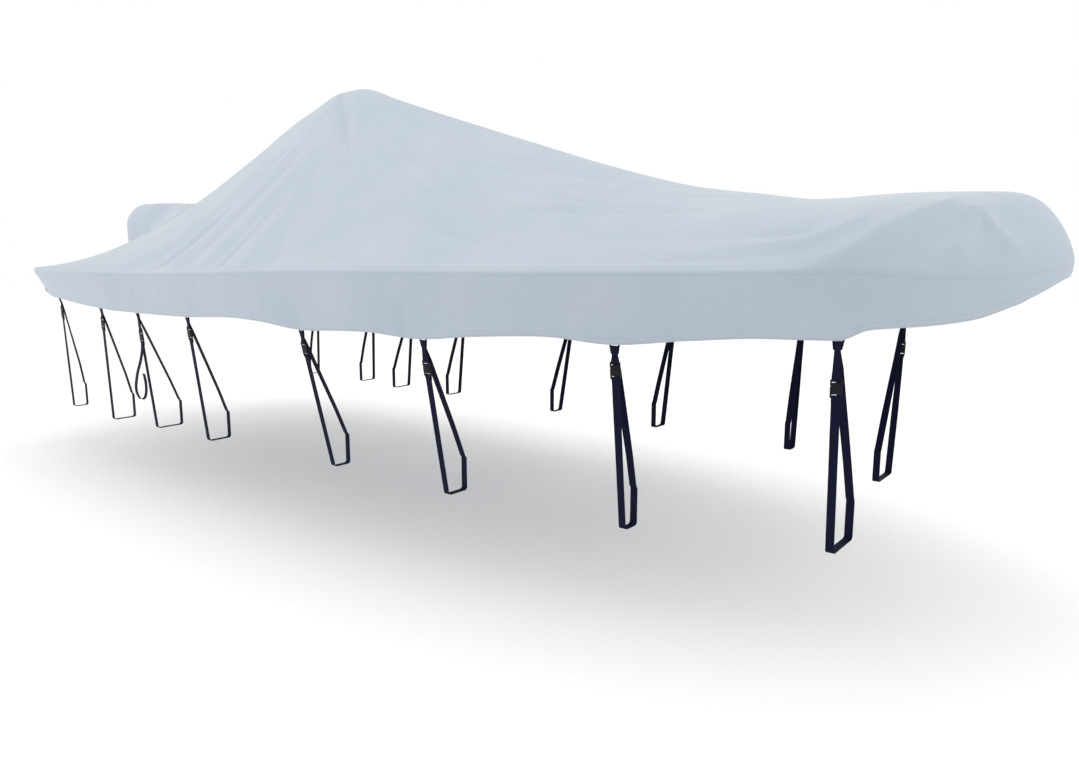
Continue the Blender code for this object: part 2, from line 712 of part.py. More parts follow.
def buckle_mesh():
    """A closed side-release buckle: x along the strap, y across it. A pocket at each end takes the webbing."""
    mesh = bmesh.new()
    size = Matrix.Diagonal((BUCKLE_LENGTH, BUCKLE_WIDTH, BUCKLE_THICK, 1.0))
    bmesh.ops.create_cube(mesh, size=1.0, matrix=size)
    bmesh.ops.bevel(
        mesh, geom=list(mesh.edges), offset=BUCKLE_EDGE, segments=1, profile=0.5, affect="EDGES"
    )
    for side in (-1, 1):
        end = max(mesh.faces, key=lambda face: side * face.calc_center_median().x)
        bmesh.ops.inset_individual(mesh, faces=[end], thickness=BUCKLE_RIM, use_even_offset=True)
        for vertex in end.verts:
            vertex.co.y = math.copysign(WEB_WIDTH / 2 + FIT, vertex.co.y)
            vertex.co.z = math.copysign(WEB_THICK / 2 + FIT, vertex.co.z)
        made = bmesh.ops.extrude_face_region(mesh, geom=[end])["geom"]
        bottom = [item for item in made if isinstance(item, bmesh.types.BMVert)]
        bmesh.ops.translate(mesh, verts=bottom, vec=(-side * BUCKLE_POCKET, 0.0, 0.0))
        bmesh.ops.delete(mesh, geom=[end], context="FACES_ONLY")
    return finish_mesh(mesh, "buckle", smooth=False)


def tail_rows(frame, rail_out, rail_in):
    """The two edges of the free tail, along the middle given by its table."""
    hem, _, _, along = frame
    (start, end), _ = strap_runs(frame, rail_out, rail_in)
    middle = []
    for out, z in TAIL["rows"]:
        point = start.lerp(end, (start.z - z) / (start.z - end.z))
        middle.append(point - Vector((0.0, out, 0.0)))
    return web_rows(middle, hem, along)


def make_straps(edges, webbing, plastic, collection):
    """Each strap with its hem loop and its buckle, on both sides, and the tail of one."""
    shared = buckle_mesh()
    for name, x, rail_out, rail_in, port_shift, drop in STRAPS["rows"]:
        for port in (False, True):
            frame = hem_frame(edges, x - port_shift * port)
            hem, down, outward, along = frame
            upper, lower = buckle_ends(strap_runs(frame, rail_out, rail_in)[0], hem, drop)
            middle = (upper + lower) / 2
            rows = web_rows(strap_points(frame, rail_out, rail_in, drop), hem, along)
            buckle_along = web_rows([middle], hem, along)[0]
            across = (buckle_along[1] - buckle_along[0]).normalized()
            way = (lower - upper).normalized()
            side = "port" if port else "starboard"
            if port:
                hem, down, outward, along, middle, way, across = map(
                    flip, (hem, down, outward, along, middle, way, across)
                )
            make_loop(f"hem_loop_{side}_{name}", hem, down, outward, along, webbing, collection)
            make_web(f"strap_{side}_{name}", rows, port, webbing, collection)
            buckle = add_object(f"buckle_{side}_{name}", shared, plastic, collection)
            buckle.matrix_world = placed(middle, way, across)
            if name == TAIL_STRAP and not port:
                make_web("strap_tail", tail_rows(frame, rail_out, rail_in), port, webbing, collection)


def make_all():
    clear_scene()
    collection = make_collection("boat_cover")
    cloth = make_material("Polyester cover cloth", (0.56, 0.63, 0.68), 0.85)
    webbing = make_material("Polypropylene webbing", (0.012, 0.014, 0.035), 0.75)
    plastic = make_material("Acetal buckle plastic", (0.012, 0.013, 0.018), 0.40)
    edges = gunwale_edges()
    make_top(edges, cloth, collection)
    make_skirts(edges, cloth, collection)
    make_hood(cloth, collection)
    make_straps(edges, webbing, plastic, collection)


make_all()
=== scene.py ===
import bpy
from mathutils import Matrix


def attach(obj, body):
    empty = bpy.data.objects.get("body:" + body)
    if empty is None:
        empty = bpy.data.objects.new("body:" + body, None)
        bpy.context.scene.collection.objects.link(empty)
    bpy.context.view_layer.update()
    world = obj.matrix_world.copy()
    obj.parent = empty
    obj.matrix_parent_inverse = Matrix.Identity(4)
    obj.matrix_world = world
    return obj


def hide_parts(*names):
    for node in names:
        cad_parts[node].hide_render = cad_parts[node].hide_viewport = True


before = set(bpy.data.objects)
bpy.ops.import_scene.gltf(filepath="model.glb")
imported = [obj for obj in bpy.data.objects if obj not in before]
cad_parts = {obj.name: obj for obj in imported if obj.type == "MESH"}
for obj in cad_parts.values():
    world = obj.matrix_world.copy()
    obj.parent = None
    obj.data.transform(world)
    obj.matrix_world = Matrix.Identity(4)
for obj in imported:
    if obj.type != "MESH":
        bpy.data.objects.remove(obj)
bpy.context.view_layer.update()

import math

import bmesh
import bpy
import numpy as np
from mathutils import Matrix, Vector

# All sizes are in metres. +X is the bow, +Y is port and the origin is under the cover's peak.

cameraView = {
    "place": (3.94, -3.34, -0.923),
    "heading": 38.1,  # degrees to port of straight across
    "tilt": 9.34,  # degrees down
    "lens": 27.69,
    "sensor": 36.0,
}

hull = {  # the plan that the cover is cut to
    "transomX": -2.10,
    "bowX": 3.62,
    "bowStartX": 0.62,
    "halfBeam": 1.10,
    "sternHalfBeam": 1.08,
    "sternTaperX": -0.38,
    "sternCorner": 0.06,
    "bowLengthPower": 2.6,
    "bowWidthPower": 1.8,
    "fanX": 2.90,  # forward of this the cloth fans out from the end of the ridge
    "fanBlend": 0.20,
    "transomRidge": (-1.86, -1.50),  # where the transom's rows leave the ridge, middle and corner
    "hoodGap": 0.2365,  # each stern panel stops this far from the middle, beside the motor hood
}

cloth = {
    "thick": 0.002,
    "seamDrop": 0.003,  # from the end of the gunwale's roll down to the seam
    "foldFade": 0.05,
    "portShift": 0.13,  # the port folds lie this much further aft
    "portShare": 0.8,
    "portBlend": 0.20,
    "sharpAngle": 0.7,  # cut edges and turns over this many radians are shaded as sharp
    "seamGap": 0.0003,
    "weld": 0.00001,  # points nearer than this become one
    "quickShare": 0.5,
}

ridgeLine = {
    "columns": ("x", "z"),
    "rows": (
        (-2.10, -0.642),
        (-1.90, -0.594),
        (-1.00, -0.276),
        (-0.66, -0.141),
        (-0.41, -0.062),
        (-0.25, -0.010),
        (-0.16, 0.006),
        (0.00, 0.003),
        (0.09, -0.012),
        (0.30, -0.085),
        (1.21, -0.373),
        (1.91, -0.582),
        (2.22, -0.655),
        (2.49, -0.692),
        (2.77, -0.725),
        (3.14, -0.718),
        (3.34, -0.721),
    ),
}

sections = {  # the gunwale's height, how round the ridge is, how hollow the side is, and the gunwale's roll
    "columns": ("x", "gunwaleZ", "ridgeRound", "hollow", "roll"),
    "rows": (
        (-2.10, -1.032, 1.00, 1.80, 0.045),
        (-1.75, -1.044, 1.04, 1.60, 0.022),
        (-1.30, -1.050, 1.06, 1.40, 0.010),
        (-0.46, -1.045, 1.08, 1.20, 0.010),
        (0.00, -1.035, 1.08, 1.15, 0.010),
        (0.47, -1.021, 1.10, 1.12, 0.010),
        (0.85, -1.011, 1.12, 1.10, 0.010),
        (1.94, -1.001, 1.35, 1.08, 0.010),
        (2.90, -0.988, 2.10, 1.05, 0.010),
        (3.10, -0.982, 2.80, 0.80, 0.014),
        (3.30, -0.986, 3.12, 0.69, 0.024),
        (3.45, -0.977, 3.15, 0.86, 0.034),
        (3.55, -0.962, 3.52, 1.02, 0.036),
        (3.62, -0.946, 3.62, 1.10, 0.036),
    ),
}

rowStarts = {  # where a row that ends at edgeX leaves the ridge
    "columns": ("edgeX", "ridgeX"),
    "rows": (
        (-2.10, -1.50),
        (-1.60, -0.80),
        (-0.90, -0.36),
        (0.00, 0.00),
        (0.90, 0.40),
        (1.60, 1.00),
        (2.20, 1.90),
        (2.60, 2.50),
        (2.90, 2.85),
        (3.20, 3.05),
        (3.45, 3.20),
        (3.62, 3.32),
    ),
}

hemLine = {  # low where a strap pulls it, and tucked in under the gunwale
    "columns": ("x", "z", "tuck"),
    "rows": (
        (-2.10, -1.190, 0.090),
        (-1.94, -1.222, 0.075),
        (-1.70, -1.237, 0.058),
        (-1.34, -1.256, 0.038),
        (-1.18, -1.264, 0.040),
        (-1.02, -1.271, 0.040),
        (-0.73, -1.272, 0.040),
        (-0.34, -1.270, 0.034),
        (-0.19, -1.268, 0.036),
        (0.26, -1.250, 0.028),
        (0.46, -1.255, 0.028),
        (0.78, -1.280, 0.040),
        (1.08, -1.266, 0.030),
        (1.24, -1.262, 0.029),
        (1.50, -1.276, 0.040),
        (1.80, -1.250, 0.030),
        (2.12, -1.234, 0.029),
        (2.35, -1.252, 0.040),
        (2.62, -1.227, 0.030),
        (2.86, -1.212, 0.030),
        (3.07, -1.214, 0.038),
        (3.15, -1.178, 0.032),
        (3.30, -1.164, 0.030),
        (3.41, -1.146, 0.028),
        (3.50, -1.106, 0.025),
        (3.57, -1.060, 0.022),
        (3.62, -1.014, 0.016),
    ),
}

portHem = {  # the port hem is drawn up a little more than the starboard one behind the bow's tip
    "columns": ("x", "rise"),
    "rows": (
        (3.38, 0.0),
        (3.45, 0.012),
        (3.50, 0.021),
        (3.55, 0.029),
        (3.585, 0.026),
        (3.61, 0.006),
        (3.62, 0.0),
    ),
}

sternHem = {
    "columns": ("y", "z", "tuck"),
    "rows": ((0.00, -1.205, 0.000), (0.40, -1.215, 0.000), (0.85, -1.205, 0.060), (1.08, -1.190, 0.090)),
}


def column(table, name):
    at = table["columns"].index(name)
    return np.array([row[at] for row in table["rows"]], float)


def readCurve(table, name, where):
    # a smooth curve through one column, read at places in the first, that never overshoots its rows
    places, values = column(table, table["columns"][0]), column(table, name)
    where = np.clip(where, places[0], places[-1])
    widths = np.diff(places)
    slopes = np.diff(values) / widths
    before, after = slopes[:-1], slopes[1:]
    total = np.where(before * after > 0, before + after, 1.0)
    middle = np.where(before * after > 0, 2 * before * after / total, 0.0)
    ends = np.concatenate(([slopes[0]], middle, [slopes[-1]]))
    span = np.clip(np.searchsorted(places, where, side="right") - 1, 0, len(widths) - 1)
    width = widths[span]
    s = (where - places[span]) / width
    return (
        values[span] * (1 + 2 * s) * (1 - s) ** 2
        + values[span + 1] * s**2 * (3 - 2 * s)
        + width * ends[span] * s * (1 - s) ** 2
        - width * ends[span + 1] * s**2 * (1 - s)
    )


def mix(a, b, s):
    return a + (b - a) * s


def portions(count, first=1):
    return [i / count for i in range(first, count + 1)]


def smoothStep(low, high, value):
    s = np.clip((value - low) / (high - low), 0.0, 1.0)
    return s * s * (3 - 2 * s)


def halfBeam(x):
    bow = np.clip((x - hull["bowStartX"]) / (hull["bowX"] - hull["bowStartX"]), 0.0, 1.0)
    stern = np.clip((hull["sternTaperX"] - x) / (hull["sternTaperX"] - hull["transomX"]), 0.0, 1.0)
    beam = hull["halfBeam"] * (1 - bow ** hull["bowLengthPower"]) ** (1 / hull["bowWidthPower"])
    return beam - (hull["halfBeam"] - hull["sternHalfBeam"]) * stern**2


def corneredHalfBeam(x):
    corner = hull["sternCorner"]
    into = np.clip((hull["transomX"] + corner - x) / corner, 0.0, 1.0)
    return halfBeam(x) - corner * (1 - np.sqrt(1 - into**2))


def topHeight(x, y):
    # the tent's height over a plan point, aft of the bow's fan
    out = np.clip(np.abs(y) / np.maximum(corneredHalfBeam(x), 1e-6), 0.0, 1.0)
    shape = (1 - out ** readCurve(sections, "ridgeRound", x)) ** readCurve(sections, "hollow", x)
    return mix(readCurve(sections, "gunwaleZ", x), readCurve(ridgeLine, "z", x), shape)


def gunwaleRows(bow, side, corner, transom):
    # plan points of the starboard gunwale, from the bow's tip to the middle of the transom
    start, reach = hull["bowStartX"], hull["bowX"] - hull["bowStartX"]
    turn = np.radians(90 * (1 - np.arange(bow) / bow))
    bowX = start + reach * np.sin(turn) ** (2 / hull["bowLengthPower"])
    bowY = -halfBeam(bowX)
    bowY[0] = 0.0
    cornerX = hull["transomX"] + hull["sternCorner"]
    sideX = mix(start, cornerX, np.arange(side) / side)
    cornerY = hull["sternHalfBeam"] - hull["sternCorner"]
    turn = np.radians(90 * np.arange(corner) / corner)
    turnX = cornerX - hull["sternCorner"] * np.sin(turn)
    turnY = -cornerY - hull["sternCorner"] * np.cos(turn)
    acrossY = -cornerY * (1 - np.arange(transom + 1) / transom)
    acrossX = np.full(transom + 1, hull["transomX"])
    x = np.concatenate((bowX, sideX, turnX, acrossX))
    y = np.concatenate((bowY, -halfBeam(sideX), turnY, acrossY))
    aftRidge = mix(*hull["transomRidge"], -acrossY / cornerY)
    ridgeX = np.concatenate((readCurve(rowStarts, "ridgeX", x[: len(x) - transom - 1]), aftRidge))
    inward = np.stack((np.gradient(y), -np.gradient(x), np.zeros(len(x))), -1)
    inward /= np.linalg.norm(inward, axis=1, keepdims=True)
    inward[0] = (-1.0, 0.0, 0.0)
    inward[-transom:] = (1.0, 0.0, 0.0)
    atStern = np.arange(len(x)) >= len(x) - transom - 1
    return {"x": x, "y": y, "ridgeX": ridgeX, "inward": inward, "atStern": atStern, "transom": transom}


def topSheet(rows, s):
    # points of the top: one row for each gunwale point, at shares s of the way out from the ridge
    edgeX, edgeY, ridgeX = (rows[key][:, None] for key in ("x", "y", "ridgeX"))
    x = mix(ridgeX, edgeX, s)
    y = edgeY * s
    shape = (1 - s ** readCurve(sections, "ridgeRound", edgeX)) ** readCurve(sections, "hollow", edgeX)
    fan = mix(readCurve(sections, "gunwaleZ", edgeX), readCurve(ridgeLine, "z", ridgeX), shape)
    start = hull["fanX"] - hull["fanBlend"] / 2
    forward = smoothStep(start, start + hull["fanBlend"], edgeX)
    z = mix(topHeight(x, y), fan, forward)
    return np.stack(np.broadcast_arrays(x, y, z), -1)


def skirtFall(rows, port=False):
    # for each row: the gunwale's point, the unit vector down the skirt and the skirt's depth
    gunwale = np.stack((rows["x"], rows["y"], readCurve(sections, "gunwaleZ", rows["x"])), -1)
    sternZ, sternTuck = (readCurve(sternHem, name, -rows["y"]) for name in ("z", "tuck"))
    sideZ = readCurve(hemLine, "z", rows["x"]) + port * readCurve(portHem, "rise", rows["x"])
    hemZ = np.where(rows["atStern"], sternZ, sideZ)
    tuck = np.where(rows["atStern"], sternTuck, readCurve(hemLine, "tuck", rows["x"]))
    down = rows["inward"] * tuck[:, None]
    down[:, 2] = hemZ - gunwale[:, 2]
    depth = np.linalg.norm(down, axis=1)
    return gunwale, down / depth[:, None], depth


def bend(start, middle, end, t):
    # a point on the curve from start to end that middle pulls out
    return start * (1 - t) ** 2 + middle * 2 * t * (1 - t) + end * t**2


def alongLine(points):
    # running length along a line of points
    steps = np.linalg.norm(np.diff(points, axis=0), axis=1)
    return np.concatenate(([0.0], np.cumsum(steps)))


def clothUv(points, line):
    # u runs along a line of points, and v up from the last column over each row's own points
    steps = np.linalg.norm(np.diff(points, axis=1), axis=2)[:, ::-1]
    up = np.concatenate((np.zeros((len(points), 1)), np.cumsum(steps, axis=1)), 1)[:, ::-1]
    return np.stack((np.broadcast_to(alongLine(line)[:, None], up.shape), up), -1)


def gridMesh(name, sheets):
    # one mesh from sheets of (points, uv, port): the starboard sheets are mirrored for port, and edges that
    # meet are welded
    vertices, faces, uvs = [], [], []
    count = 0
    for points, uv, port in sheets:
        lines, columns = points.shape[:2]
        flat = points.reshape(-1, 3) * ((1, -1, 1) if port else (1, 1, 1))
        index = count + np.arange(lines * columns).reshape(lines, columns)
        quads = np.stack((index[:-1, :-1], index[:-1, 1:], index[1:, 1:], index[1:, :-1]), -1).reshape(-1, 4)
        faces.append(quads if port else quads[:, ::-1])
        vertices.append(flat)
        uvs.append(uv.reshape(-1, 2))
        count += len(flat)
    mesh = bpy.data.meshes.new(name)
    corners = np.concatenate(faces)
    mesh.from_pydata(np.concatenate(vertices).tolist(), [], corners.tolist())
    layer = mesh.uv_layers.new(name="UVMap")
    layer.data.foreach_set("uv", np.concatenate(uvs)[corners.ravel()].ravel())
    work = bmesh.new()
    work.from_mesh(mesh)
    bmesh.ops.remove_doubles(work, verts=work.verts, dist=cloth["weld"])
    for face in work.faces:
        face.smooth = True
    for edge in work.edges:
        edge.smooth = edge.is_manifold and edge.calc_face_angle(0.0) < cloth["sharpAngle"]
    work.to_mesh(mesh)
    work.free()
    return mesh


def meshPoints(mesh):
    points = np.empty(len(mesh.vertices) * 3)
    mesh.vertices.foreach_get("co", points)
    return points.reshape(-1, 3)


def liftMesh(mesh, heights):
    # moves each point of a mesh along its normal
    normals = np.empty(len(mesh.vertices) * 3)
    mesh.vertex_normals.foreach_get("vector", normals)
    moved = meshPoints(mesh) + normals.reshape(-1, 3) * heights[:, None]
    mesh.vertices.foreach_set("co", moved.ravel())
    mesh.update()


def addObject(name, data):
    thing = bpy.data.objects.new(name, data)
    bpy.context.scene.collection.objects.link(thing)
    return thing


def addPiece(name, mesh, material, node, place=None):
    # a piece on the cover's one body, in place of a node
    piece = addObject(name, mesh)
    if place:
        piece.matrix_world = place
    if not mesh.materials:
        mesh.materials.append(material)
    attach(piece, "root")
    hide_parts(node)
    return piece


def thicken(piece, thickness, offset):
    solid = piece.modifiers.new("Thickness", "SOLIDIFY")
    solid.thickness = thickness
    solid.offset = offset
    solid.use_even_offset = False


def addCloth(name, mesh, material, node):
    piece = addPiece(name, mesh, material, node)
    thicken(piece, cloth["thick"], -1)


# materials

def linearColour(hexColour):
    # an sRGB hex value as the linear colour that Blender works in
    shares = [int(hexColour[i : i + 2], 16) / 255 for i in (1, 3, 5)]
    return (*(s / 12.92 if s <= 0.04045 else ((s + 0.055) / 1.055) ** 2.4 for s in shares), 1.0)


def colourPair(low, high):
    # the settings of a mix between two colours
    return {"data_type": "RGBA", 6: linearColour(low), 7: linearColour(high)}


def fitNode(tree, node, settings=None, links=None):
    # sets a node's properties and sockets and links its inputs. A node as a source gives its first output
    for key, value in (settings or {}).items():
        if isinstance(key, str) and hasattr(node, key):
            setattr(node, key, value)
        else:
            node.inputs[key].default_value = value
    for key, source in (links or {}).items():
        output = source if isinstance(source, bpy.types.NodeSocket) else source.outputs[0]
        tree.links.new(output, node.inputs[key])
    return node


def addNode(tree, kind, settings=None, links=None):
    return fitNode(tree, tree.nodes.new("ShaderNode" + kind), settings, links)


def startMaterial(name):
    material = bpy.data.materials.new(name)
    material.use_nodes = True
    return material, material.node_tree, material.node_tree.nodes["Principled BSDF"]


def bandScale(pitch):
    # a wave node draws a band every tau / 20 of a unit
    return math.tau / 20 / pitch


clothLook = {
    "colour": "#a9b3bc",
    "soiled": "#a3aeb8",
    "skirtColour": "#a9b3be",
    "skirtSoiled": "#a3aeba",
    "roughness": 0.82,
    "sheen": 0.12,
    "sheenRoughness": 0.5,
    "soiling": {"Scale": 2.3, "Detail": 4.0},  # about so many patches to a metre
    "soilRange": (0.35, 0.68),
    "threadPitch": 0.0022,  # real threads are 0.45 mm apart, so they are drawn coarse enough to show
    "weaveRelief": (0.25, 0.0003),  # how strongly and how high it stands up
    "stitchPitch": 0.0065,  # real stitches are 3.5 mm long, and are drawn longer to show
    "stitchWide": 0.0016,
    "stitchRelief": (0.5, 0.0003),  # and how deep the stitches lie
    "stitchCut": -0.45,  # the thread shows where a sine along the seam is over this
    "stitchColour": "#9fa8b3",
    "topStitches": (0.007, 0.014),  # rows of stitching, up from the gunwale's seam
    "hemStitches": (0.006, 0.022),  # and up from the hem
    "pullRelief": (0.6, 0.012),  # of the fine pulls that fan out from where the cloth is held up
    "crumpleRelief": (0.2, 0.0048),
    "crumple": {"Scale": 20.0, "Detail": 3.0, "Roughness": 0.6},
    "wrinkles": {"Scale": 1.0, "Detail": 4.0, "Roughness": 0.6},
    "ripples": {"Scale": 1.0, "Detail": 3.0, "Roughness": 0.55},
    "rippleScale": (9.0, 3.5, 0.0),  # to a metre along the skirt and down it
    "alongScale": (1.7, 13.0, 4.0),  # wrinkles to a metre along the boat, across it and up
    "alongShares": ((0.0, 0.0), (0.9, 0.8), (2.4, 1.0), (3.0, 0.3)),  # pairs of x and their share there
    "fans": (  # where a fan of pulls starts, its spokes to a radian, its waves to a metre and its share by x
        ((-0.05, 0.0, 0.0), 5.5, 0.8, ((-2.2, 1.0), (0.2, 1.0), (1.3, 0.6), (2.4, 0.2))),
        ((3.36, 0.27, 0.0), 4.5, 3.0, ((2.3, 0.0), (2.9, 0.7), (3.2, 1.0), (3.7, 0.6))),
    ),
    "fanClear": (0.04, 0.30),  # a fan fades in between these distances from its start
}


def clothMaterial(name, plan, stitchRows, colours):
    # solution-dyed polyester, plain woven and coated: matt, with a faint sheen at a low angle
    material, tree, shader = startMaterial(name)
    place = addNode(tree, "TexCoord")
    space, uv = place.outputs["Object"], place.outputs["UV"]
    threads = []
    for way in "XY":
        bands = {"bands_direction": way, "Scale": bandScale(clothLook["threadPitch"])}
        threads.append(addNode(tree, "TexWave", bands, {"Vector": space if plan else uv}))
    weave = addNode(tree, "Math", {"operation": "MULTIPLY"}, dict(enumerate(threads)))
    cloud = addNode(tree, "TexNoise", clothLook["soiling"], {"Vector": space})
    spread = dict(zip(("From Min", "From Max"), clothLook["soilRange"]))
    soil = addNode(tree, "MapRange", spread, {"Value": cloud})
    base = addNode(tree, "Mix", colourPair(*(clothLook[key] for key in colours)), {0: soil})
    stitches = stitchMask(tree, uv, stitchRows)
    thread = {"data_type": "RGBA", 7: linearColour(clothLook["stitchColour"])}
    sewn = addNode(tree, "Mix", thread, {0: stitches, 6: base.outputs[2]})
    creases = addNode(tree, "TexNoise", clothLook["crumple"], {"Vector": space})
    reliefs = {  # from the coarsest to the finest, all raised apart from the stitches
        "pullRelief": topPulls(tree, space) if plan else skirtPulls(tree, uv),
        "crumpleRelief": creases,
        "stitchRelief": stitches,
        "weaveRelief": weave,
    }
    links = {}
    for name, height in reliefs.items():
        strength, distance = clothLook[name]
        relief = {"Strength": strength, "Distance": distance, "invert": name == "stitchRelief"}
        links["Height"] = height
        links["Normal"] = addNode(tree, "Bump", relief, links)
    finish = {
        "Roughness": clothLook["roughness"],
        "Sheen Weight": clothLook["sheen"],
        "Sheen Roughness": clothLook["sheenRoughness"],
    }
    fitNode(tree, shader, finish, {"Base Color": sewn.outputs[2], "Normal": links["Normal"]})
    return material


def topPulls(tree, place):
    # fine pulls in the top: fans from where it is held up, and between them wrinkles that run along the boat
    parts = addNode(tree, "SeparateXYZ", links={"Vector": place})
    side = addNode(tree, "Math", {"operation": "ABSOLUTE"}, {0: parts.outputs["Y"]})
    mirrored = addNode(tree, "CombineXYZ", links={"X": parts.outputs["X"], "Y": side})
    flat = addNode(tree, "VectorMath", {"operation": "MULTIPLY", 1: (1.0, 1.0, 0.0)}, {0: place})
    total = None
    fade = dict(zip(("From Min", "From Max"), clothLook["fanClear"]))
    for centre, spokes, waves, shares in clothLook["fans"]:
        plan = mirrored if centre[1] else flat
        offset = addNode(tree, "VectorMath", {"operation": "SUBTRACT", 1: centre}, {0: plan})
        way = addNode(tree, "VectorMath", {"operation": "NORMALIZE"}, {0: offset})
        spread = addNode(tree, "VectorMath", {"operation": "SCALE", "Scale": spokes}, {0: way})
        reach = addNode(tree, "VectorMath", {"operation": "LENGTH"}, {0: offset}).outputs["Value"]
        outwards = addNode(tree, "Math", {"operation": "MULTIPLY", 1: waves}, {0: reach})
        lift = addNode(tree, "CombineXYZ", links={"Z": outwards})
        where = addNode(tree, "VectorMath", {"operation": "ADD"}, {0: spread, 1: lift})
        clear = addNode(tree, "MapRange", fade, {"Value": reach})
        total = addWrinkles(tree, where, shares, parts.outputs["X"], total, clear)
    along = {"operation": "MULTIPLY", 1: clothLook["alongScale"]}
    along = addNode(tree, "VectorMath", along, {0: place})
    return addWrinkles(tree, along, clothLook["alongShares"], parts.outputs["X"], total)


def addWrinkles(tree, where, shares, x, total, clear=None):
    # noise read at where, weighted by a curve of (x, share) and by clear, added to the wrinkles so far
    wrinkles = addNode(tree, "TexNoise", clothLook["wrinkles"], {"Vector": where})
    lowX, highX = shares[0][0], shares[-1][0]
    position = addNode(tree, "MapRange", {"From Min": lowX, "From Max": highX}, {"Value": x})
    ramp = addNode(tree, "ValToRGB", links={"Fac": position})
    stops = ramp.color_ramp.elements
    while len(stops) < len(shares):
        stops.new(0.5)
    for stop, (stopX, share) in zip(stops, shares):
        stop.position = (stopX - lowX) / (highX - lowX)
        stop.color = (share, share, share, 1.0)
    weighted = addNode(tree, "Math", {"operation": "MULTIPLY"}, {0: wrinkles, 1: ramp})
    if clear:
        weighted = addNode(tree, "Math", {"operation": "MULTIPLY"}, {0: weighted, 1: clear})
    if total:
        weighted = addNode(tree, "Math", {"operation": "ADD"}, {0: total, 1: weighted})
    return weighted


def skirtPulls(tree, uv):
    # slack in a skirt: shallow ripples that hang from the seam to the hem
    hung = addNode(tree, "VectorMath", {"operation": "MULTIPLY", 1: clothLook["rippleScale"]}, {0: uv})
    return addNode(tree, "TexNoise", clothLook["ripples"], {"Vector": hung})


def stitchMask(tree, uv, stitchRows):
    # dashes along u at each distance v in stitchRows
    parts = addNode(tree, "SeparateXYZ", links={"Vector": uv})
    turns = math.tau / clothLook["stitchPitch"]
    phase = addNode(tree, "Math", {"operation": "MULTIPLY", 1: turns}, {0: parts.outputs["X"]})
    swing = addNode(tree, "Math", {"operation": "SINE"}, {0: phase})
    dash = addNode(tree, "Math", {"operation": "GREATER_THAN", 1: clothLook["stitchCut"]}, {0: swing})
    total = None
    for distance in stitchRows:
        band = {"operation": "COMPARE", 1: distance, 2: clothLook["stitchWide"] / 2}
        near = addNode(tree, "Math", band, {0: parts.outputs["Y"]})
        if total:
            near = addNode(tree, "Math", {"operation": "MAXIMUM"}, {0: total, 1: near})
        total = near
    return addNode(tree, "Math", {"operation": "MULTIPLY"}, {0: total, 1: dash})


def finishPattern(tree, shader, look, pattern):
    # one pattern gives a surface its two colours and its relief
    # on the webbing, the lighter colour on the raised ribs is painted sheen
    colour = addNode(tree, "Mix", colourPair(look["colour"], look["raised"]), {0: pattern})
    relief = {"Strength": look["relief"], "Distance": look["height"]}
    bump = addNode(tree, "Bump", relief, {"Height": pattern})
    finish = {"Roughness": look["roughness"], "Specular IOR Level": look["specular"]}
    fitNode(tree, shader, finish, {"Base Color": colour.outputs[2], "Normal": bump})


webLook = {
    "colour": "#04061c",
    # the ribs' lighter colour: painted sheen on the tops of the ribs
    "raised": "#0c1030",
    "ribPitch": 0.004,  # real ribs are 1.5 mm apart, drawn coarse enough to show
    "relief": 0.5,
    "height": 0.0006,
    "roughness": 0.7,
    "specular": 0.12,
}


def webMaterial():
    # woven polypropylene webbing, dyed navy black: ribbed across, with a dull shine on the ribs: partly real
    # specular, and partly painted sheen, a lighter colour on the ribs
    material, tree, shader = startMaterial("Polypropylene webbing, woven")
    place = addNode(tree, "TexCoord").outputs["UV"]
    bands = {"bands_direction": "X", "Scale": bandScale(webLook["ribPitch"])}
    finishPattern(tree, shader, webLook, addNode(tree, "TexWave", bands, {"Vector": place}))
    return material


plasticLook = {
    "colour": "#05070f",
    "raised": "#0d101b",
    "grain": 900.0,  # grains to a metre. Real ones are 0.1 mm across, and are drawn coarse enough to show
    "relief": 0.2,
    "height": 0.0002,
    "roughness": 0.5,
    "specular": 0.2,
}


def plasticMaterial():
    # injection-moulded acetal: satin black with a fine spark-eroded grain
    material, tree, shader = startMaterial("Acetal, injection moulded")
    place = addNode(tree, "TexCoord").outputs["Object"]
    grain = addNode(tree, "TexNoise", {"Scale": plasticLook["grain"]}, {"Vector": place})
    finishPattern(tree, shader, plasticLook, grain)
    return material


# folds

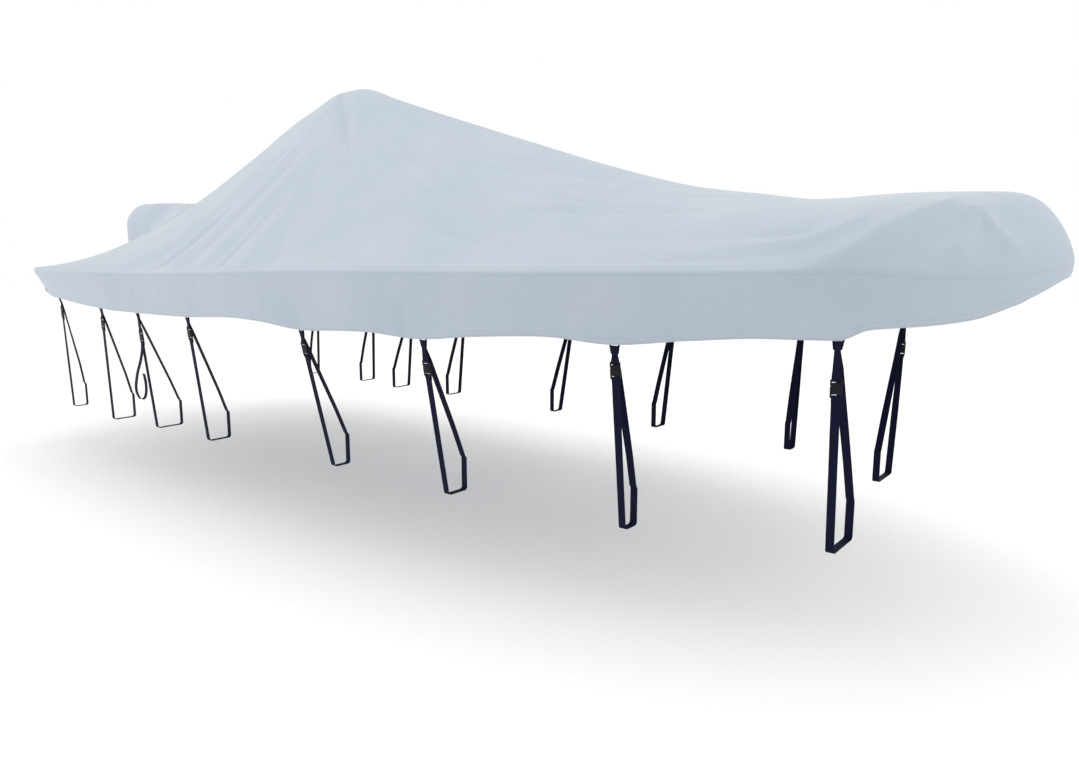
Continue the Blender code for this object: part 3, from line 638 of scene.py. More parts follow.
# Folds of the starboard top, in plan: a fold's half width and power, then x, y and height of its points. A
# trough's heights are negative, and a low power makes a crease.
folds = {
    "rows": (
        (0.055, 1.6, (-0.30, -0.14, 0.0035), (-0.98, -1.00, 0.0139)),
        (0.048, 1.4, (-0.35, -0.20, -0.0035), (-1.12, -1.08, -0.0122)),
        (0.042, 1.3, (-0.60, -0.30, -0.0017), (-1.30, -1.02, -0.007)),
        (0.042, 1.3, (-0.25, -0.18, -0.0026), (-0.77, -1.08, -0.0148)),
        (0.045, 1.5, (-0.22, -0.22, 0.0026), (-0.62, -1.05, 0.0122)),
        (0.040, 1.3, (-0.20, -0.24, -0.0026), (-0.48, -1.08, -0.0157)),
        (0.042, 1.4, (-0.16, -0.14, 0.0035), (-0.17, -0.46, 0.0104), (-0.42, -0.74, 0.0104),
            (-0.51, -1.02, 0.007)),
        (0.048, 1.5, (-0.15, -0.30, 0.0026), (-0.36, -1.04, 0.0113)),
        (0.042, 1.3, (-0.04, -0.34, -0.0035), (-0.24, -1.06, -0.0157)),
        (0.048, 1.5, (0.02, -0.42, 0.0026), (-0.04, -1.05, 0.0122)),
        (0.034, 1.2, (0.08, -0.50, -0.0017), (0.05, -1.06, -0.0087)),
        (0.040, 1.3, (0.14, -0.58, -0.003), (0.13, -1.06, -0.015)),
        (0.042, 1.5, (0.22, -0.66, 0.002), (0.30, -1.05, 0.008)),
        (0.038, 1.3, (0.30, -0.70, -0.003), (0.55, -1.02, -0.011)),
        (0.035, 1.4, (0.04, -0.44, 0.005), (0.38, -0.90, 0.003)),
        (0.034, 1.3, (0.12, -0.42, -0.005), (0.53, -0.82, -0.004)),
        (0.036, 1.4, (0.28, -0.46, 0.005), (0.84, -0.88, 0.003)),
        (0.032, 1.1, (-0.16, -0.04, -0.020), (0.08, -0.21, -0.034)),
        (0.036, 1.1, (0.08, -0.21, -0.034), (0.31, -0.37, -0.016)),
        (0.038, 1.2, (0.31, -0.37, -0.016), (0.50, -0.54, -0.002)),
        (0.032, 1.4, (0.00, -0.09, 0.005), (0.24, -0.25, 0.010)),
        (0.026, 1.2, (0.14, -0.15, -0.007), (0.40, -0.27, -0.002)),
        (0.026, 1.2, (0.20, -0.12, -0.007), (0.52, -0.22, -0.002)),
        (0.024, 1.2, (0.10, -0.11, -0.005), (0.30, -0.17, -0.001)),
        (0.034, 1.2, (0.25, -0.34, -0.010), (0.66, -0.52, -0.011), (1.00, -0.69, -0.008),
            (1.23, -0.80, -0.002)),
        (0.036, 1.2, (0.34, -0.41, -0.008), (0.74, -0.65, -0.007), (1.15, -0.90, -0.002)),
        (0.040, 1.2, (0.28, -0.18, -0.006), (0.60, -0.26, -0.016), (0.91, -0.40, -0.015),
            (1.28, -0.53, -0.011), (1.58, -0.68, -0.003)),
        (0.040, 1.4, (0.45, -0.27, 0.004), (1.02, -0.49, 0.009), (1.45, -0.66, 0.003)),
        (0.034, 1.2, (0.26, -0.24, -0.005), (0.53, -0.32, -0.010), (0.87, -0.49, -0.010),
            (1.17, -0.62, -0.003)),
        (0.036, 1.2, (0.80, -0.55, -0.004), (1.00, -0.64, -0.012), (1.39, -0.79, -0.010),
            (1.67, -0.85, -0.003)),
        (0.040, 1.4, (0.95, -0.56, 0.006), (1.50, -0.76, 0.003)),
        (0.030, 1.2, (0.28, -0.17, -0.008), (0.77, -0.29, -0.003)),
        (0.034, 1.2, (0.37, -0.10, -0.008), (0.89, -0.18, -0.007), (1.30, -0.22, -0.002)),
        (0.034, 1.2, (1.10, -0.20, -0.006), (1.60, -0.22, -0.008), (2.10, -0.22, -0.003)),
        (0.030, 1.2, (1.20, -0.31, -0.006), (1.66, -0.27, -0.003)),
        (0.032, 1.2, (1.47, -0.47, -0.006), (1.90, -0.44, -0.003)),
        (0.030, 1.2, (1.71, -0.35, -0.006), (2.10, -0.25, -0.003)),
        (0.030, 1.2, (1.81, -0.19, -0.006), (2.30, -0.11, -0.003)),
        (0.032, 1.2, (2.10, -0.31, -0.005), (2.58, -0.18, -0.003)),
        (0.042, 1.3, (1.75, -0.58, -0.007), (2.45, -0.43, -0.004)),
        (0.038, 1.3, (2.20, -0.74, -0.003), (2.88, -0.57, -0.008)),
        (0.042, 1.3, (2.50, -0.80, 0.003), (3.06, -0.50, 0.010)),
        (0.036, 1.2, (2.60, -0.83, -0.003), (3.07, -0.56, -0.012)),
        (0.034, 1.2, (2.72, -0.80, -0.003), (3.03, -0.62, -0.009)),
        (0.052, 1.2, (3.30, -0.18, 0.002), (3.285, -0.325, 0.028), (3.20, -0.455, 0.028),
            (3.10, -0.58, 0.026), (3.04, -0.655, 0.020), (2.92, -0.75, 0.006)),
        (0.044, 1.4, (3.34, -0.38, -0.012), (3.25, -0.51, -0.020), (3.15, -0.62, -0.016),
            (3.06, -0.71, -0.005)),
        (0.034, 1.3, (3.285, -0.325, 0.028), (3.325, -0.30, 0.016)),
        (0.030, 1.3, (3.325, -0.30, 0.016), (3.365, -0.29, 0.026)),
        (0.030, 1.2, (3.38, -0.17, 0.002), (3.365, -0.29, 0.026)),
        (0.028, 1.1, (3.365, -0.29, 0.026), (3.35, -0.40, 0.016)),
        (0.030, 1.2, (3.35, -0.40, 0.016), (3.32, -0.52, 0.002)),
        (0.030, 1.1, (3.365, -0.29, 0.026), (3.42, -0.315, 0.022)),
        (0.032, 1.2, (3.42, -0.315, 0.022), (3.48, -0.30, 0.018)),
        (0.034, 1.2, (3.48, -0.30, 0.018), (3.55, -0.25, 0.004)),
        (0.032, 1.3, (3.385, -0.35, -0.006), (3.40, -0.45, -0.014)),
        (0.036, 1.4, (3.43, -0.34, -0.002), (3.48, -0.41, -0.006)),
        (0.024, 1.2, (3.23, -0.47, -0.003), (3.24, -0.55, -0.011)),
        (0.024, 1.2, (3.27, -0.45, -0.003), (3.24, -0.57, -0.012)),
        (0.024, 1.2, (3.31, -0.44, -0.003), (3.27, -0.56, -0.011)),
        (0.026, 1.2, (3.19, -0.52, -0.002), (3.17, -0.61, -0.009)),
    ),
}


def foldLift(x, y, table):
    # how far the folds lift the cloth at plan points on the starboard side. Where some meet, only the highest
    # ridge and the deepest trough count
    ridge, trough = np.zeros(len(x)), np.zeros(len(x))
    for width, power, *points in table["rows"]:
        for (fromX, fromY, startHeight), (toX, toY, endHeight) in zip(points, points[1:]):
            alongX, alongY = toX - fromX, toY - fromY
            s = np.clip(((x - fromX) * alongX + (y - fromY) * alongY) / (alongX**2 + alongY**2), 0.0, 1.0)
            off = np.hypot(x - fromX - alongX * s, y - fromY - alongY * s) / width
            lift = mix(startHeight, endHeight, s) * np.exp(-(off**power))
            ridge, trough = np.maximum(ridge, lift), np.minimum(trough, lift)
    return ridge + trough


topLook = {
    "flat": (3.20, 6.10),
    "rows": (146, 178, 6, 22),  # round the bow, along the side, round the corner and over half the transom
    "columns": 50,
    "edgeSteps": (0.062, 0.054, 0.047, 0.041, 0.036, 0.030, 0.022, 0.012, 0.004),  # more columns at the edge
    "rollSteps": (0.2, 0.4, 0.6, 0.8),
    "weltRise": 0.0055,  # the felled seam stands up this far
    "weltStart": 0.010,  # it rises from here, measured in plan from the gunwale
    "weltCrest": 0.038,
    "weltEnd": 0.056,
    "weltFrom": (0.55, 0.80),  # it fades in over the first pair of x and out over the second
    "weltTo": (2.65, 2.85),
}


def keptShare():
    return 1.0


def coverRows():
    # the rows that the top and the skirts share
    return gunwaleRows(*(max(4, round(count * keptShare())) for count in topLook["rows"]))


def edgeRoll(rows):
    # for each row: the gunwale's point, the way down, the roll, the reach in plan and where the roll ends
    gunwale, down, _ = skirtFall(rows)
    roll = readCurve(sections, "roll", rows["x"])
    reach = np.hypot(rows["x"] - rows["ridgeX"], rows["y"])
    return gunwale, down, roll, reach, gunwale + down * roll[:, None]


def makeTop(material):
    rows = coverRows()
    gunwale, down, roll, reach, end = edgeRoll(rows)
    last = 1 - roll / reach
    inner = 1 - (roll + topLook["edgeSteps"][0]) / reach
    columns = round(topLook["columns"] * keptShare())
    s = [inner * j / columns for j in range(columns)]
    s += [1 - (roll + step) / reach for step in topLook["edgeSteps"]] + [last]
    sheet = topSheet(rows, np.stack(s, -1))
    edge = [bend(sheet[:, -1], gunwale, end, t) for t in topLook["rollSteps"]]
    edge += [end, end + down * cloth["seamDrop"]]
    points = np.concatenate((sheet, np.stack(edge, 1)), 1)
    uv = clothUv(points, gunwale)
    mesh = gridMesh("coverTop", [(points, uv, False), (points, uv, True)])
    liftMesh(mesh, topRelief(meshPoints(mesh)))
    addCloth("coverTop", mesh, material, "top_panel")


def topRelief(points):
    # folds, and the welt of the felled seam that runs along the gunwale
    x, y, z = points.T
    across = np.clip(y / cloth["portBlend"], 0.0, 1.0)
    shifted = x + cloth["portShift"] * across
    share = mix(1.0, cloth["portShare"], across)
    above = np.clip((z - readCurve(sections, "gunwaleZ", x)) / cloth["foldFade"], 0.0, 1.0)
    lift = foldLift(shifted, -np.abs(y), folds) * share * above
    inside = halfBeam(x) - np.abs(y)
    rise = np.clip((inside - topLook["weltStart"]) / (topLook["weltCrest"] - topLook["weltStart"]), 0.0, 1.0)
    fall = 1 - smoothStep(topLook["weltCrest"], topLook["weltEnd"], inside)
    ends = smoothStep(*topLook["weltFrom"], x) * (1 - smoothStep(*topLook["weltTo"], x))
    return lift + topLook["weltRise"] * rise * fall * ends


print("cover form ready")


# skirts

skirtLook = {
    "flat": (0.34, 6.60),
    "panelFlat": (0.30, 0.95),
    "columns": 20,
    "hem": 0.026,  # depth of the turned hem
    "hemThick": 0.0014,
    "hemStep": 0.002,  # over which the hem's fold turns
    "tuckUp": 0.012,  # the skirt's top edge goes up behind the top's
    "tuckIn": 0.0026,
    "tuckStep": 0.0005,
    "bowGap": 0.00045,  # from each skirt to the middle of the bow
}


def skirtSheet(rows, keep, port=False):
    gunwale, down, depth = (part[keep] for part in skirtFall(rows, port))
    start = readCurve(sections, "roll", rows["x"])[keep] + cloth["seamDrop"] + cloth["seamGap"]
    hem, hemStep, tuckIn = skirtLook["hem"], skirtLook["hemStep"], skirtLook["tuckIn"]
    columns = round(skirtLook["columns"] * keptShare())
    drops = [start - skirtLook["tuckUp"], start - skirtLook["tuckStep"]]
    drops += [mix(start, depth - hem - hemStep, t) for t in portions(columns, 0)]
    drops += [depth - hem, depth - hem * 0.5, depth - hemStep, depth]
    insets = [tuckIn, tuckIn] + [0.0] * (columns + 1) + [-skirtLook["hemThick"]] * 3 + [0.0]
    inward = rows["inward"][keep]
    points = [gunwale + down * drop[:, None] + inward * inset for drop, inset in zip(drops, insets)]
    fromHem = np.stack([depth - drop for drop in drops], 1)
    along = np.broadcast_to(alongLine(gunwale)[:, None], fromHem.shape)
    return np.stack(points, 1), np.stack((along, fromHem), -1)


def makeSkirts(material):
    rows = coverRows()
    total, transom = len(rows["x"]), rows["transom"]
    last = np.flatnonzero(-rows["y"] > hull["hoodGap"])[-1] + 1  # this row moves out to the panel's end
    rows["y"][last] = -hull["hoodGap"]
    for port in (False, True):
        side = "port" if port else "starboard"
        points, uv = skirtSheet(rows, np.arange(total - transom + 1), port)
        points[0, :, 1] -= skirtLook["bowGap"]
        points[-1, :, 1] -= cloth["seamGap"]
        panel = skirtSheet(rows, np.arange(total - transom, last + 1))
        for name, node, flat, sheet in (
            ("skirt", "skirt_", skirtLook["flat"], (points, uv)),
            ("sternPanel", "stern_panel_", skirtLook["panelFlat"], panel),
        ):
            mesh = gridMesh(name, [(*sheet, port)])
            addCloth(name + side.capitalize(), mesh, material, node + side)


coverMaterial = clothMaterial(
    "Polyester cloth, woven and coated", True, clothLook["topStitches"], ("colour", "soiled")
)
skirtMaterial = clothMaterial(
    "Polyester cloth, woven and hemmed", False, clothLook["hemStitches"], ("skirtColour", "skirtSoiled")
)
webbing = webMaterial()
plastic = plasticMaterial()
print("materials made")

makeTop(coverMaterial)
makeSkirts(skirtMaterial)
print("top and skirts made")

# motor hood

hoodForm = {
    "flat": (1.60, 1.60),
    "halfWidth": 0.235,
    "aftX": -2.552,
    "topZ": -0.576,
    "hemZ": -1.215,
    "frontX": -1.88,  # the front lies on the top this far forward of the transom
    "frontZ": -0.586,  # the spine's height at its front, where it runs out into the top's ridge
    "frontCorner": 0.14,
    "aftCorner": 0.12,
    "shoulder": 0.17,
    "shoulderShare": 0.8,  # of the way in to the spine, the most that a shoulder takes
    "slopeBow": 1.25,
    "spineLevel": 0.6,  # the spine is level from this share of the way aft
    "slopeFade": 0.65,  # share of the side, aft of the transom, over which the front's slope becomes a wall
    "spineFront": 0.10,
    "spineAft": 0.16,
    "crown": 0.003,
    "lapRise": 0.001,
    "frontColumns": 8,
    "cornerColumns": 6,
    "lapColumns": 4,
    "sideColumns": 14,
    "aftColumns": 10,
    "backColumns": 6,
    "wallRows": 18,
    "shoulderRows": 12,
    "crownRows": 6,
    "folds": (  # start, end, height and half width of each pull in the hood's cloth
        ((-2.50, -0.12, -0.60), (-2.33, -0.20, -0.66), 0.007, 0.016),
        ((-2.47, -0.02, -0.58), (-2.30, -0.14, -0.59), -0.006, 0.018),
        ((-2.40, -0.19, -0.62), (-2.36, -0.235, -0.80), 0.004, 0.020),
        ((-2.30, -0.20, -0.64), (-2.24, -0.235, -0.95), -0.005, 0.025),
        ((-2.20, -0.21, -0.62), (-2.16, -0.235, -0.90), 0.004, 0.020),
        ((-2.52, -0.08, -0.72), (-2.55, -0.05, -1.05), -0.005, 0.030),
        ((-2.50, 0.10, -0.70), (-2.55, 0.08, -1.10), 0.005, 0.030),
        ((-2.38, 0.20, -0.64), (-2.30, 0.235, -1.00), -0.005, 0.030),
    ),
}


def onTop(x, y):
    # where the hood's front edge lies on the cover's top
    return float(topHeight(np.float64(x), np.float64(y))) + hoodForm["lapRise"]


def spineHeight(x):
    # the hood's top along its spine: level over the motor, and down to the top's ridge at its front
    aft = (hoodForm["frontX"] - x) / (hoodForm["frontX"] - hoodForm["aftX"])
    return mix(hoodForm["frontZ"], hoodForm["topZ"], float(smoothStep(0.0, hoodForm["spineLevel"], aft)))


def transomFall(y):
    # the top's fall over the transom, this far from the middle: heights and places, from low to high
    rows = gunwaleRows(4, 4, 2, topLook["rows"][3])  # of these only the transom's are read
    gunwale, _, roll, reach, end = edgeRoll(rows)
    start = topSheet(rows, (1 - roll / reach)[:, None])[:, 0]
    line = []
    for t in (1.0, *topLook["rollSteps"][::-1], 0.0):
        edge = bend(start, gunwale, end, t)[-rows["transom"] - 1 :]
        line.append([np.interp(y, edge[:, 1], edge[:, k]) for k in (2, 0)])
    return np.array(line).T


def hoodOutline():
    # starboard half of the hood's plan, from the middle of its front to the middle of its back:
    # x, y, the height of its edge, the shoulder over it, and how far a plain slope takes the shoulder's place
    front, hem = hoodForm["frontX"], hoodForm["hemZ"]
    corner, aftCorner = hoodForm["frontCorner"], hoodForm["aftCorner"]
    side = -hoodForm["halfWidth"]
    inner, outer = side + corner, side + aftCorner
    plan = [(front, inner * t) for t in portions(hoodForm["frontColumns"], 0)]
    for t in portions(hoodForm["cornerColumns"]):
        turn = math.pi / 2 * t
        plan.append((front - corner * (1 - math.cos(turn)), inner - corner * math.sin(turn)))
    lapEnd = transomFall(side)[1][-1]
    start, edge = front - corner, lapEnd + cloth["seamGap"]
    plan += [(mix(start, edge, t), side) for t in portions(hoodForm["lapColumns"])]
    places = [(x, y, onTop(x, y), spineHeight(x) - onTop(x, y), 1.0) for x, y in plan]
    low, high = places[-1][3], hoodForm["shoulder"]
    start, end = lapEnd - cloth["seamGap"], hoodForm["aftX"] + aftCorner
    for t in portions(hoodForm["sideColumns"], 0):
        slope = 1 - float(smoothStep(0.0, hoodForm["slopeFade"], t))
        places.append((mix(start, end, t), side, hem, mix(low, high, t), slope))
    for t in portions(hoodForm["aftColumns"]):
        turn = math.pi / 2 * t
        places.append((end - aftCorner * math.sin(turn), outer - aftCorner * math.cos(turn), hem, high, 0.0))
    places += [(hoodForm["aftX"], outer * (1 - t), hem, high, 0.0) for t in portions(hoodForm["backColumns"])]
    return places


def hoodColumn(x, y, low, shoulder, slope):
    # from the edge up the wall, over the shoulder and in to the spine of the hood's top
    front = hoodForm["frontX"]
    aft = (front - x) / (front - hoodForm["aftX"])
    spineX = mix(front - hoodForm["spineFront"], hoodForm["aftX"] + hoodForm["spineAft"], aft)
    inwards = Vector((spineX - x, -y, 0.0))
    reach = min(shoulder, hoodForm["shoulderShare"] * inwards.length) / inwards.length
    top = spineHeight(x)
    foot = Vector((x, y, 0.0))
    heights = [mix(low, top - shoulder, t) for t in portions(hoodForm["wallRows"], 0)]
    points = [foot + Vector((0.0, 0.0, height)) for height in heights]
    bends = hoodForm["shoulderRows"]
    count = bends + hoodForm["crownRows"]
    for i in range(1, count + 1):
        turn = math.pi / 2 * min(i / bends, 1.0)
        crown = max(i - bends, 0) / hoodForm["crownRows"]
        along = mix(mix(reach * (1 - math.cos(turn)), 1.0, crown), i / count, slope)
        fall = mix(1 - math.sin(turn), (1 - i / count) ** hoodForm["slopeBow"], slope)
        height = top + hoodForm["crown"] * crown - shoulder * fall
        points.append(foot + inwards * along + Vector((0.0, 0.0, height)))
    return points


def segmentLift(points, table):
    # how far a table of folds in space lifts the cloth
    lift = np.zeros(len(points))
    for start, end, height, width in table:
        along = np.subtract(end, start)
        s = np.clip((points - start) @ along / (along @ along), 0.0, 1.0)
        off = np.linalg.norm(points - start - s[:, None] * along, axis=1) / width
        lift += height * np.exp(-(off**2))
    return lift


def makeHood(material):
    columns = [hoodColumn(*place)[::-1] for place in hoodOutline()]
    points = np.array([[tuple(p) for p in line] for line in columns])
    heights, places = transomFall(-hoodForm["halfWidth"])
    limit = np.interp(points[:, :, 2], heights, places - cloth["seamGap"], right=0.0)
    points[:, :, 0] = np.minimum(points[:, :, 0], limit)  # the walls stay aft of the transom
    uv = clothUv(points, points[:, -1])
    mesh = gridMesh("motorHood", [(points, uv, False), (points, uv, True)])
    liftMesh(mesh, segmentLift(meshPoints(mesh), hoodForm["folds"]))
    addCloth("motorHood", mesh, material, "motor_hood")


# straps, hem loops and buckles

webForm = {
    "wide": 0.030,
    "neck": 0.020,  # the strap bunches to this where it passes through its hem loop
    "neckReach": 0.030,
    "thick": 0.0018,
    "twistStart": 0.20,
    "twistReach": 0.25,
    "fit": 0.0004,
    "across": (0.0, 0.12, 0.5, 0.88, 1.0),  # columns of a strip, close together at its selvedges
    "cornerSteps": 6,
    "cornerShare": 0.45,  # of the shorter side, the most that a corner takes
    "bendRadius": 0.006,
    "innerRun": (0.12, 0.3, 0.5, 0.75),  # rows down a strap's inner run, and up its outer one
    "outerRun": (0.25, 0.5, 0.75),
}

loopForm = {
    "flat": (0.012, 0.16),
    "gap": 0.0008,
    "rise": 0.026,  # up behind the skirt
    "drop": 0.035,
    "topWide": 0.040,
    "endWide": 0.029,
    "leg": 0.0075,
    "bar": 0.029,
    "cornerRadius": 0.005,
}

buckleForm = {
    "length": 0.062,
    "wide": 0.038,
    "plateThick": 0.0052,
    "slotAt": 0.0222,  # middle of each slot, from the middle of the buckle
    "slotLong": 0.0062,
    "slotWide": 0.0315,
    "slotRound": 0.0015,
    "round": 0.004,
    "bevel": 0.0008,
    "parting": -0.0085,  # where the two halves meet
    "partingGap": 0.0006,
    "bodyThick": 0.0105,
    "bodyBevel": 0.0016,
    "body": (  # half of the socket's outline
        (-0.0075, -0.0150),
        (0.0005, -0.0150),
        (0.0020, -0.0105),
        (0.0110, -0.0105),
        (0.0125, -0.0165),
        (0.0165, -0.0165),
        (0.0180, -0.0140),
    ),
    "prongThick": 0.0072,
    "prongBevel": 0.0012,
    "prong": (
        (-0.0060, 0.0085),
        (-0.0040, 0.0125),
        (0.0015, 0.0152),
        (0.0060, 0.0178),
        (0.0108, 0.0176),
        (0.0120, 0.0155),
        (0.0116, 0.0110),
        (0.0030, 0.0100),
    ),
    "weld": 0.000001,
    "turnStep": 0.004,  # the webbing turns into a slot from here
    "endSteps": (0.020, 0.003, 0.001, 0.010),  # past the buckle: the tucked end, its rise, and the way out
}

railForm = {"topZ": -1.795, "bottomZ": -1.945, "corner": 0.008}

straps = {
    "columns": ("name", "x", "railOut", "railIn", "portShift", "buckleDrop"),
    "rows": (
        ("1", -1.83, 0.985, 0.900, 0.00, 0.091),
        ("2", -1.18, 1.030, 0.900, 0.00, 0.090),
        ("3", -0.73, 0.990, 0.840, 0.00, 0.136),
        ("4", -0.19, 0.985, 0.860, 0.00, 0.088),
        ("5", 0.78, 0.910, 0.820, 0.00, 0.089),
        ("6", 1.54, 0.912, 0.802, 0.00, 0.120),
        ("7", 2.37, 0.828, 0.750, 0.00, 0.093),
        ("8", 3.07, 0.605, 0.410, 0.15, 0.161),
    ),
}

strapTail = {  # from the third strap's buckle down and back up: how far out from the strap, and the height
    "strap": "3",
    "rows": (
        (0.0024, -1.445),
        (0.010, -1.485),
        (0.030, -1.545),
        (0.060, -1.615),
        (0.080, -1.685),
        (0.080, -1.732),
        (0.064, -1.763),
        (0.042, -1.757),
        (0.028, -1.722),
        (0.022, -1.670),
        (0.024, -1.620),
    ),
    "steps": 6,
}

hemRows = gunwaleRows(96, 160, 6, 22)  # the straps' places along the hem are read from these


def hemFrame(x):
    # the starboard hem at a strap: its middle, down the skirt, out of the boat and along the hem
    gunwale, down, depth = skirtFall(hemRows)
    hem = gunwale + down * depth[:, None]
    side = len(hemRows["x"]) - hemRows["transom"]

    def at(line, place):
        return Vector([np.interp(-place, -hemRows["x"][:side], line[:side, k]) for k in range(3)])

    fore, aft = x + loopForm["topWide"] / 2, x - loopForm["topWide"] / 2
    middle = (at(hem, fore) + at(hem, aft)) / 2
    fall = (middle - (at(gunwale, fore) + at(gunwale, aft)) / 2).normalized()
    outward = fall.cross(at(hem, fore) - at(hem, aft)).normalized()
    return middle, fall, outward, outward.cross(fall)


def roundCorners(points, radius, steps):
    # the line with each inner corner drawn as a curve, and the same number of points for each corner
    made = [points[0]]
    for before, corner, after in zip(points, points[1:], points[2:]):
        share = webForm["cornerShare"]
        reach = min(radius, (before - corner).length * share, (after - corner).length * share)
        start = corner + (before - corner).normalized() * reach
        end = corner + (after - corner).normalized() * reach
        made += [bend(start, corner, end, t) for t in portions(steps, 0)]
    made.append(points[-1])
    return made


def flipped(vector, port):
    return Vector((vector.x, -vector.y, vector.z)) if port else vector


def webMesh(name, edges):
    # a strip of webbing through pairs of edge points, with soft selvedges
    shares = webForm["across"]
    points = np.array([[tuple(a.lerp(b, share)) for share in shares] for a, b in edges])
    wide = np.linalg.norm(points[:, -1] - points[:, 0], axis=1)
    along = alongLine((points[:, 0] + points[:, -1]) / 2)
    along = np.broadcast_to(along[:, None], points.shape[:2])
    across = wide[:, None] * np.array(shares)[None, :]
    return gridMesh(name, [(points, np.stack((along, across), -1), False)])


def addWeb(name, edges, port, node):
    edges = [(flipped(a, port), flipped(b, port)) for a, b in edges]
    web = addPiece(name, webMesh(name, edges), webbing, node)
    thicken(web, webForm["thick"], 0)
    return web


def loopCentre(hemPoint):
    # the middle of the hem, moved in to the plane of its loop
    middle, _, outward, _ = hemPoint
    return middle - outward * (cloth["thick"] + loopForm["gap"] + webForm["thick"] / 2)


def loopEdges(hemPoint):
    # the hem loop as a ribbon lying in the skirt's plane: its outer and its inner edge
    _, down, _, along = hemPoint
    centre = loopCentre(hemPoint)
    top, end = loopForm["topWide"] / 2, loopForm["endWide"] / 2
    leg, drop, rise = loopForm["leg"], loopForm["drop"], loopForm["rise"]
    low = drop - loopForm["bar"]
    foot = top - (top - end) / drop * low - leg
    lines = []
    for wide, narrow, depth in ((top, end, drop), (top - leg, foot, low)):
        half = [(-wide, -rise), (-wide, 0.0), (-narrow, depth)]
        outline = half + [(-x, y) for x, y in reversed(half)]
        line = [centre + along * x + down * y for x, y in outline]
        lines.append(roundCorners(line, loopForm["cornerRadius"], webForm["cornerSteps"]))
    return list(zip(*lines))


def strapRuns(hemPoint, railOut, railIn):
    middle, down, outward, _ = hemPoint
    barEnd = loopCentre(hemPoint) + down * loopForm["drop"]
    off = outward * (webForm["thick"] + webForm["fit"])
    outer = (barEnd + off, Vector((middle.x, -railOut, railForm["bottomZ"] + railForm["corner"])))
    inner = (barEnd - off, Vector((middle.x, -railIn, railForm["topZ"] - railForm["corner"])))
    return outer, inner


def buckleMiddle(run, hemZ, drop):
    start, end = run
    way = (end - start).normalized()
    return start + way * ((hemZ - drop - start.z) / way.z), way


def strapLine(hemPoint, railOut, railIn, drop):
    # the strap's middle: from the buckle's upper slot over the loop's bar, round the rail, to the lower slot
    hem, down, outward, _ = hemPoint
    outer, inner = strapRuns(hemPoint, railOut, railIn)
    centre, way = buckleMiddle(outer, hem.z, drop)
    slot, half = buckleForm["slotAt"], buckleForm["length"] / 2
    turn = slot + buckleForm["turnStep"]
    end, rise, out, away = (half + past for past in buckleForm["endSteps"])
    level, thick, fit = Vector(), webForm["thick"], webForm["fit"]
    proud = outward * (buckleForm["plateThick"] / 2 + thick / 2 + fit)
    off = outward * (thick + fit)
    upper = [(-end, -off), (-rise, -proud), (-turn, -proud), (-slot, level)]
    upper += [(-turn, proud), (-out, proud), (-away, level)]
    points = [centre + way * along + shift for along, shift in upper]
    above = loopCentre(hemPoint) + down * (loopForm["drop"] - loopForm["bar"] - fit)
    top = above - down * thick / 2
    offTop = outward * (fit + thick / 2)
    points += [outer[0], above + off, top + offTop, top - offTop, above - off, inner[0]]
    points += [inner[0].lerp(inner[1], share) for share in webForm["innerRun"]]
    corner = railForm["corner"]
    x, bottom = hem.x, railForm["bottomZ"]
    points += [inner[1] + Vector((0.0, -corner, corner)), inner[1], Vector((x, -railIn, bottom + corner))]
    points += [Vector((x, -railIn - corner, bottom)), Vector((x, -railOut + corner, bottom)), outer[1]]
    points += [outer[1].lerp(centre, share) for share in webForm["outerRun"]]
    lower = [(away, level), (out, proud), (turn, proud), (slot, level)]
    lower += [(turn, -proud), (rise, -proud), (end, -off)]
    return points + [centre + way * along + shift for along, shift in lower]


def webEdges(points, hemZ, along):
    # a strap's two edges along its middle: narrow in the hem's loop, and turned along the boat at the rail
    edges = []
    for point in points:
        down = hemZ - point.z
        neck = min(max((down - loopForm["drop"]) / webForm["neckReach"], 0.0), 1.0)
        half = mix(webForm["neck"], webForm["wide"], neck) / 2
        turn = min(max((down - webForm["twistStart"]) / webForm["twistReach"], 0.0), 1.0)
        across = along.lerp(Vector((1.0, 0.0, 0.0)), turn).normalized()
        edges.append((point - across * half, point + across * half))
    return edges


def plateMesh(outlines, thick, bevel):
    # a flat plate cut to closed outlines, the first of them its edge and the others its holes
    data = bpy.data.curves.new("plate", "CURVE")
    data.dimensions = "2D"
    data.fill_mode = "BOTH"
    data.extrude = thick / 2 - bevel
    data.bevel_depth = bevel
    data.bevel_resolution = 1
    for outline in outlines:
        spline = data.splines.new("POLY")
        spline.points.add(len(outline) - 1)
        for point, (x, y) in zip(spline.points, outline):
            point.co = (x, y, 0.0, 1.0)
        spline.use_cyclic_u = True
    drawn = addObject("plate", data)
    mesh = bpy.data.meshes.new_from_object(drawn.evaluated_get(bpy.context.evaluated_depsgraph_get()))
    bpy.data.objects.remove(drawn)
    return mesh


def roundedBox(x0, x1, y0, y1, radius, steps=4):
    # a rectangle with round corners, as an outline
    outline = []
    for cx, cy, start in ((x1, y1, 0), (x0, y1, 90), (x0, y0, 180), (x1, y0, 270)):
        ox = cx - radius if cx == x1 else cx + radius
        oy = cy - radius if cy == y1 else cy + radius
        for t in portions(steps, 0):
            turn = math.radians(start + 90 * t)
            outline.append((ox + radius * math.cos(turn), oy + radius * math.sin(turn)))
    return outline


def joinMeshes(name, meshes):
    # one mesh from several, with points that meet welded
    work = bmesh.new()
    for mesh in meshes:
        work.from_mesh(mesh)
    bmesh.ops.remove_doubles(work, verts=work.verts, dist=buckleForm["weld"])
    joined = bpy.data.meshes.new(name)
    work.to_mesh(joined)
    work.free()
    return joined


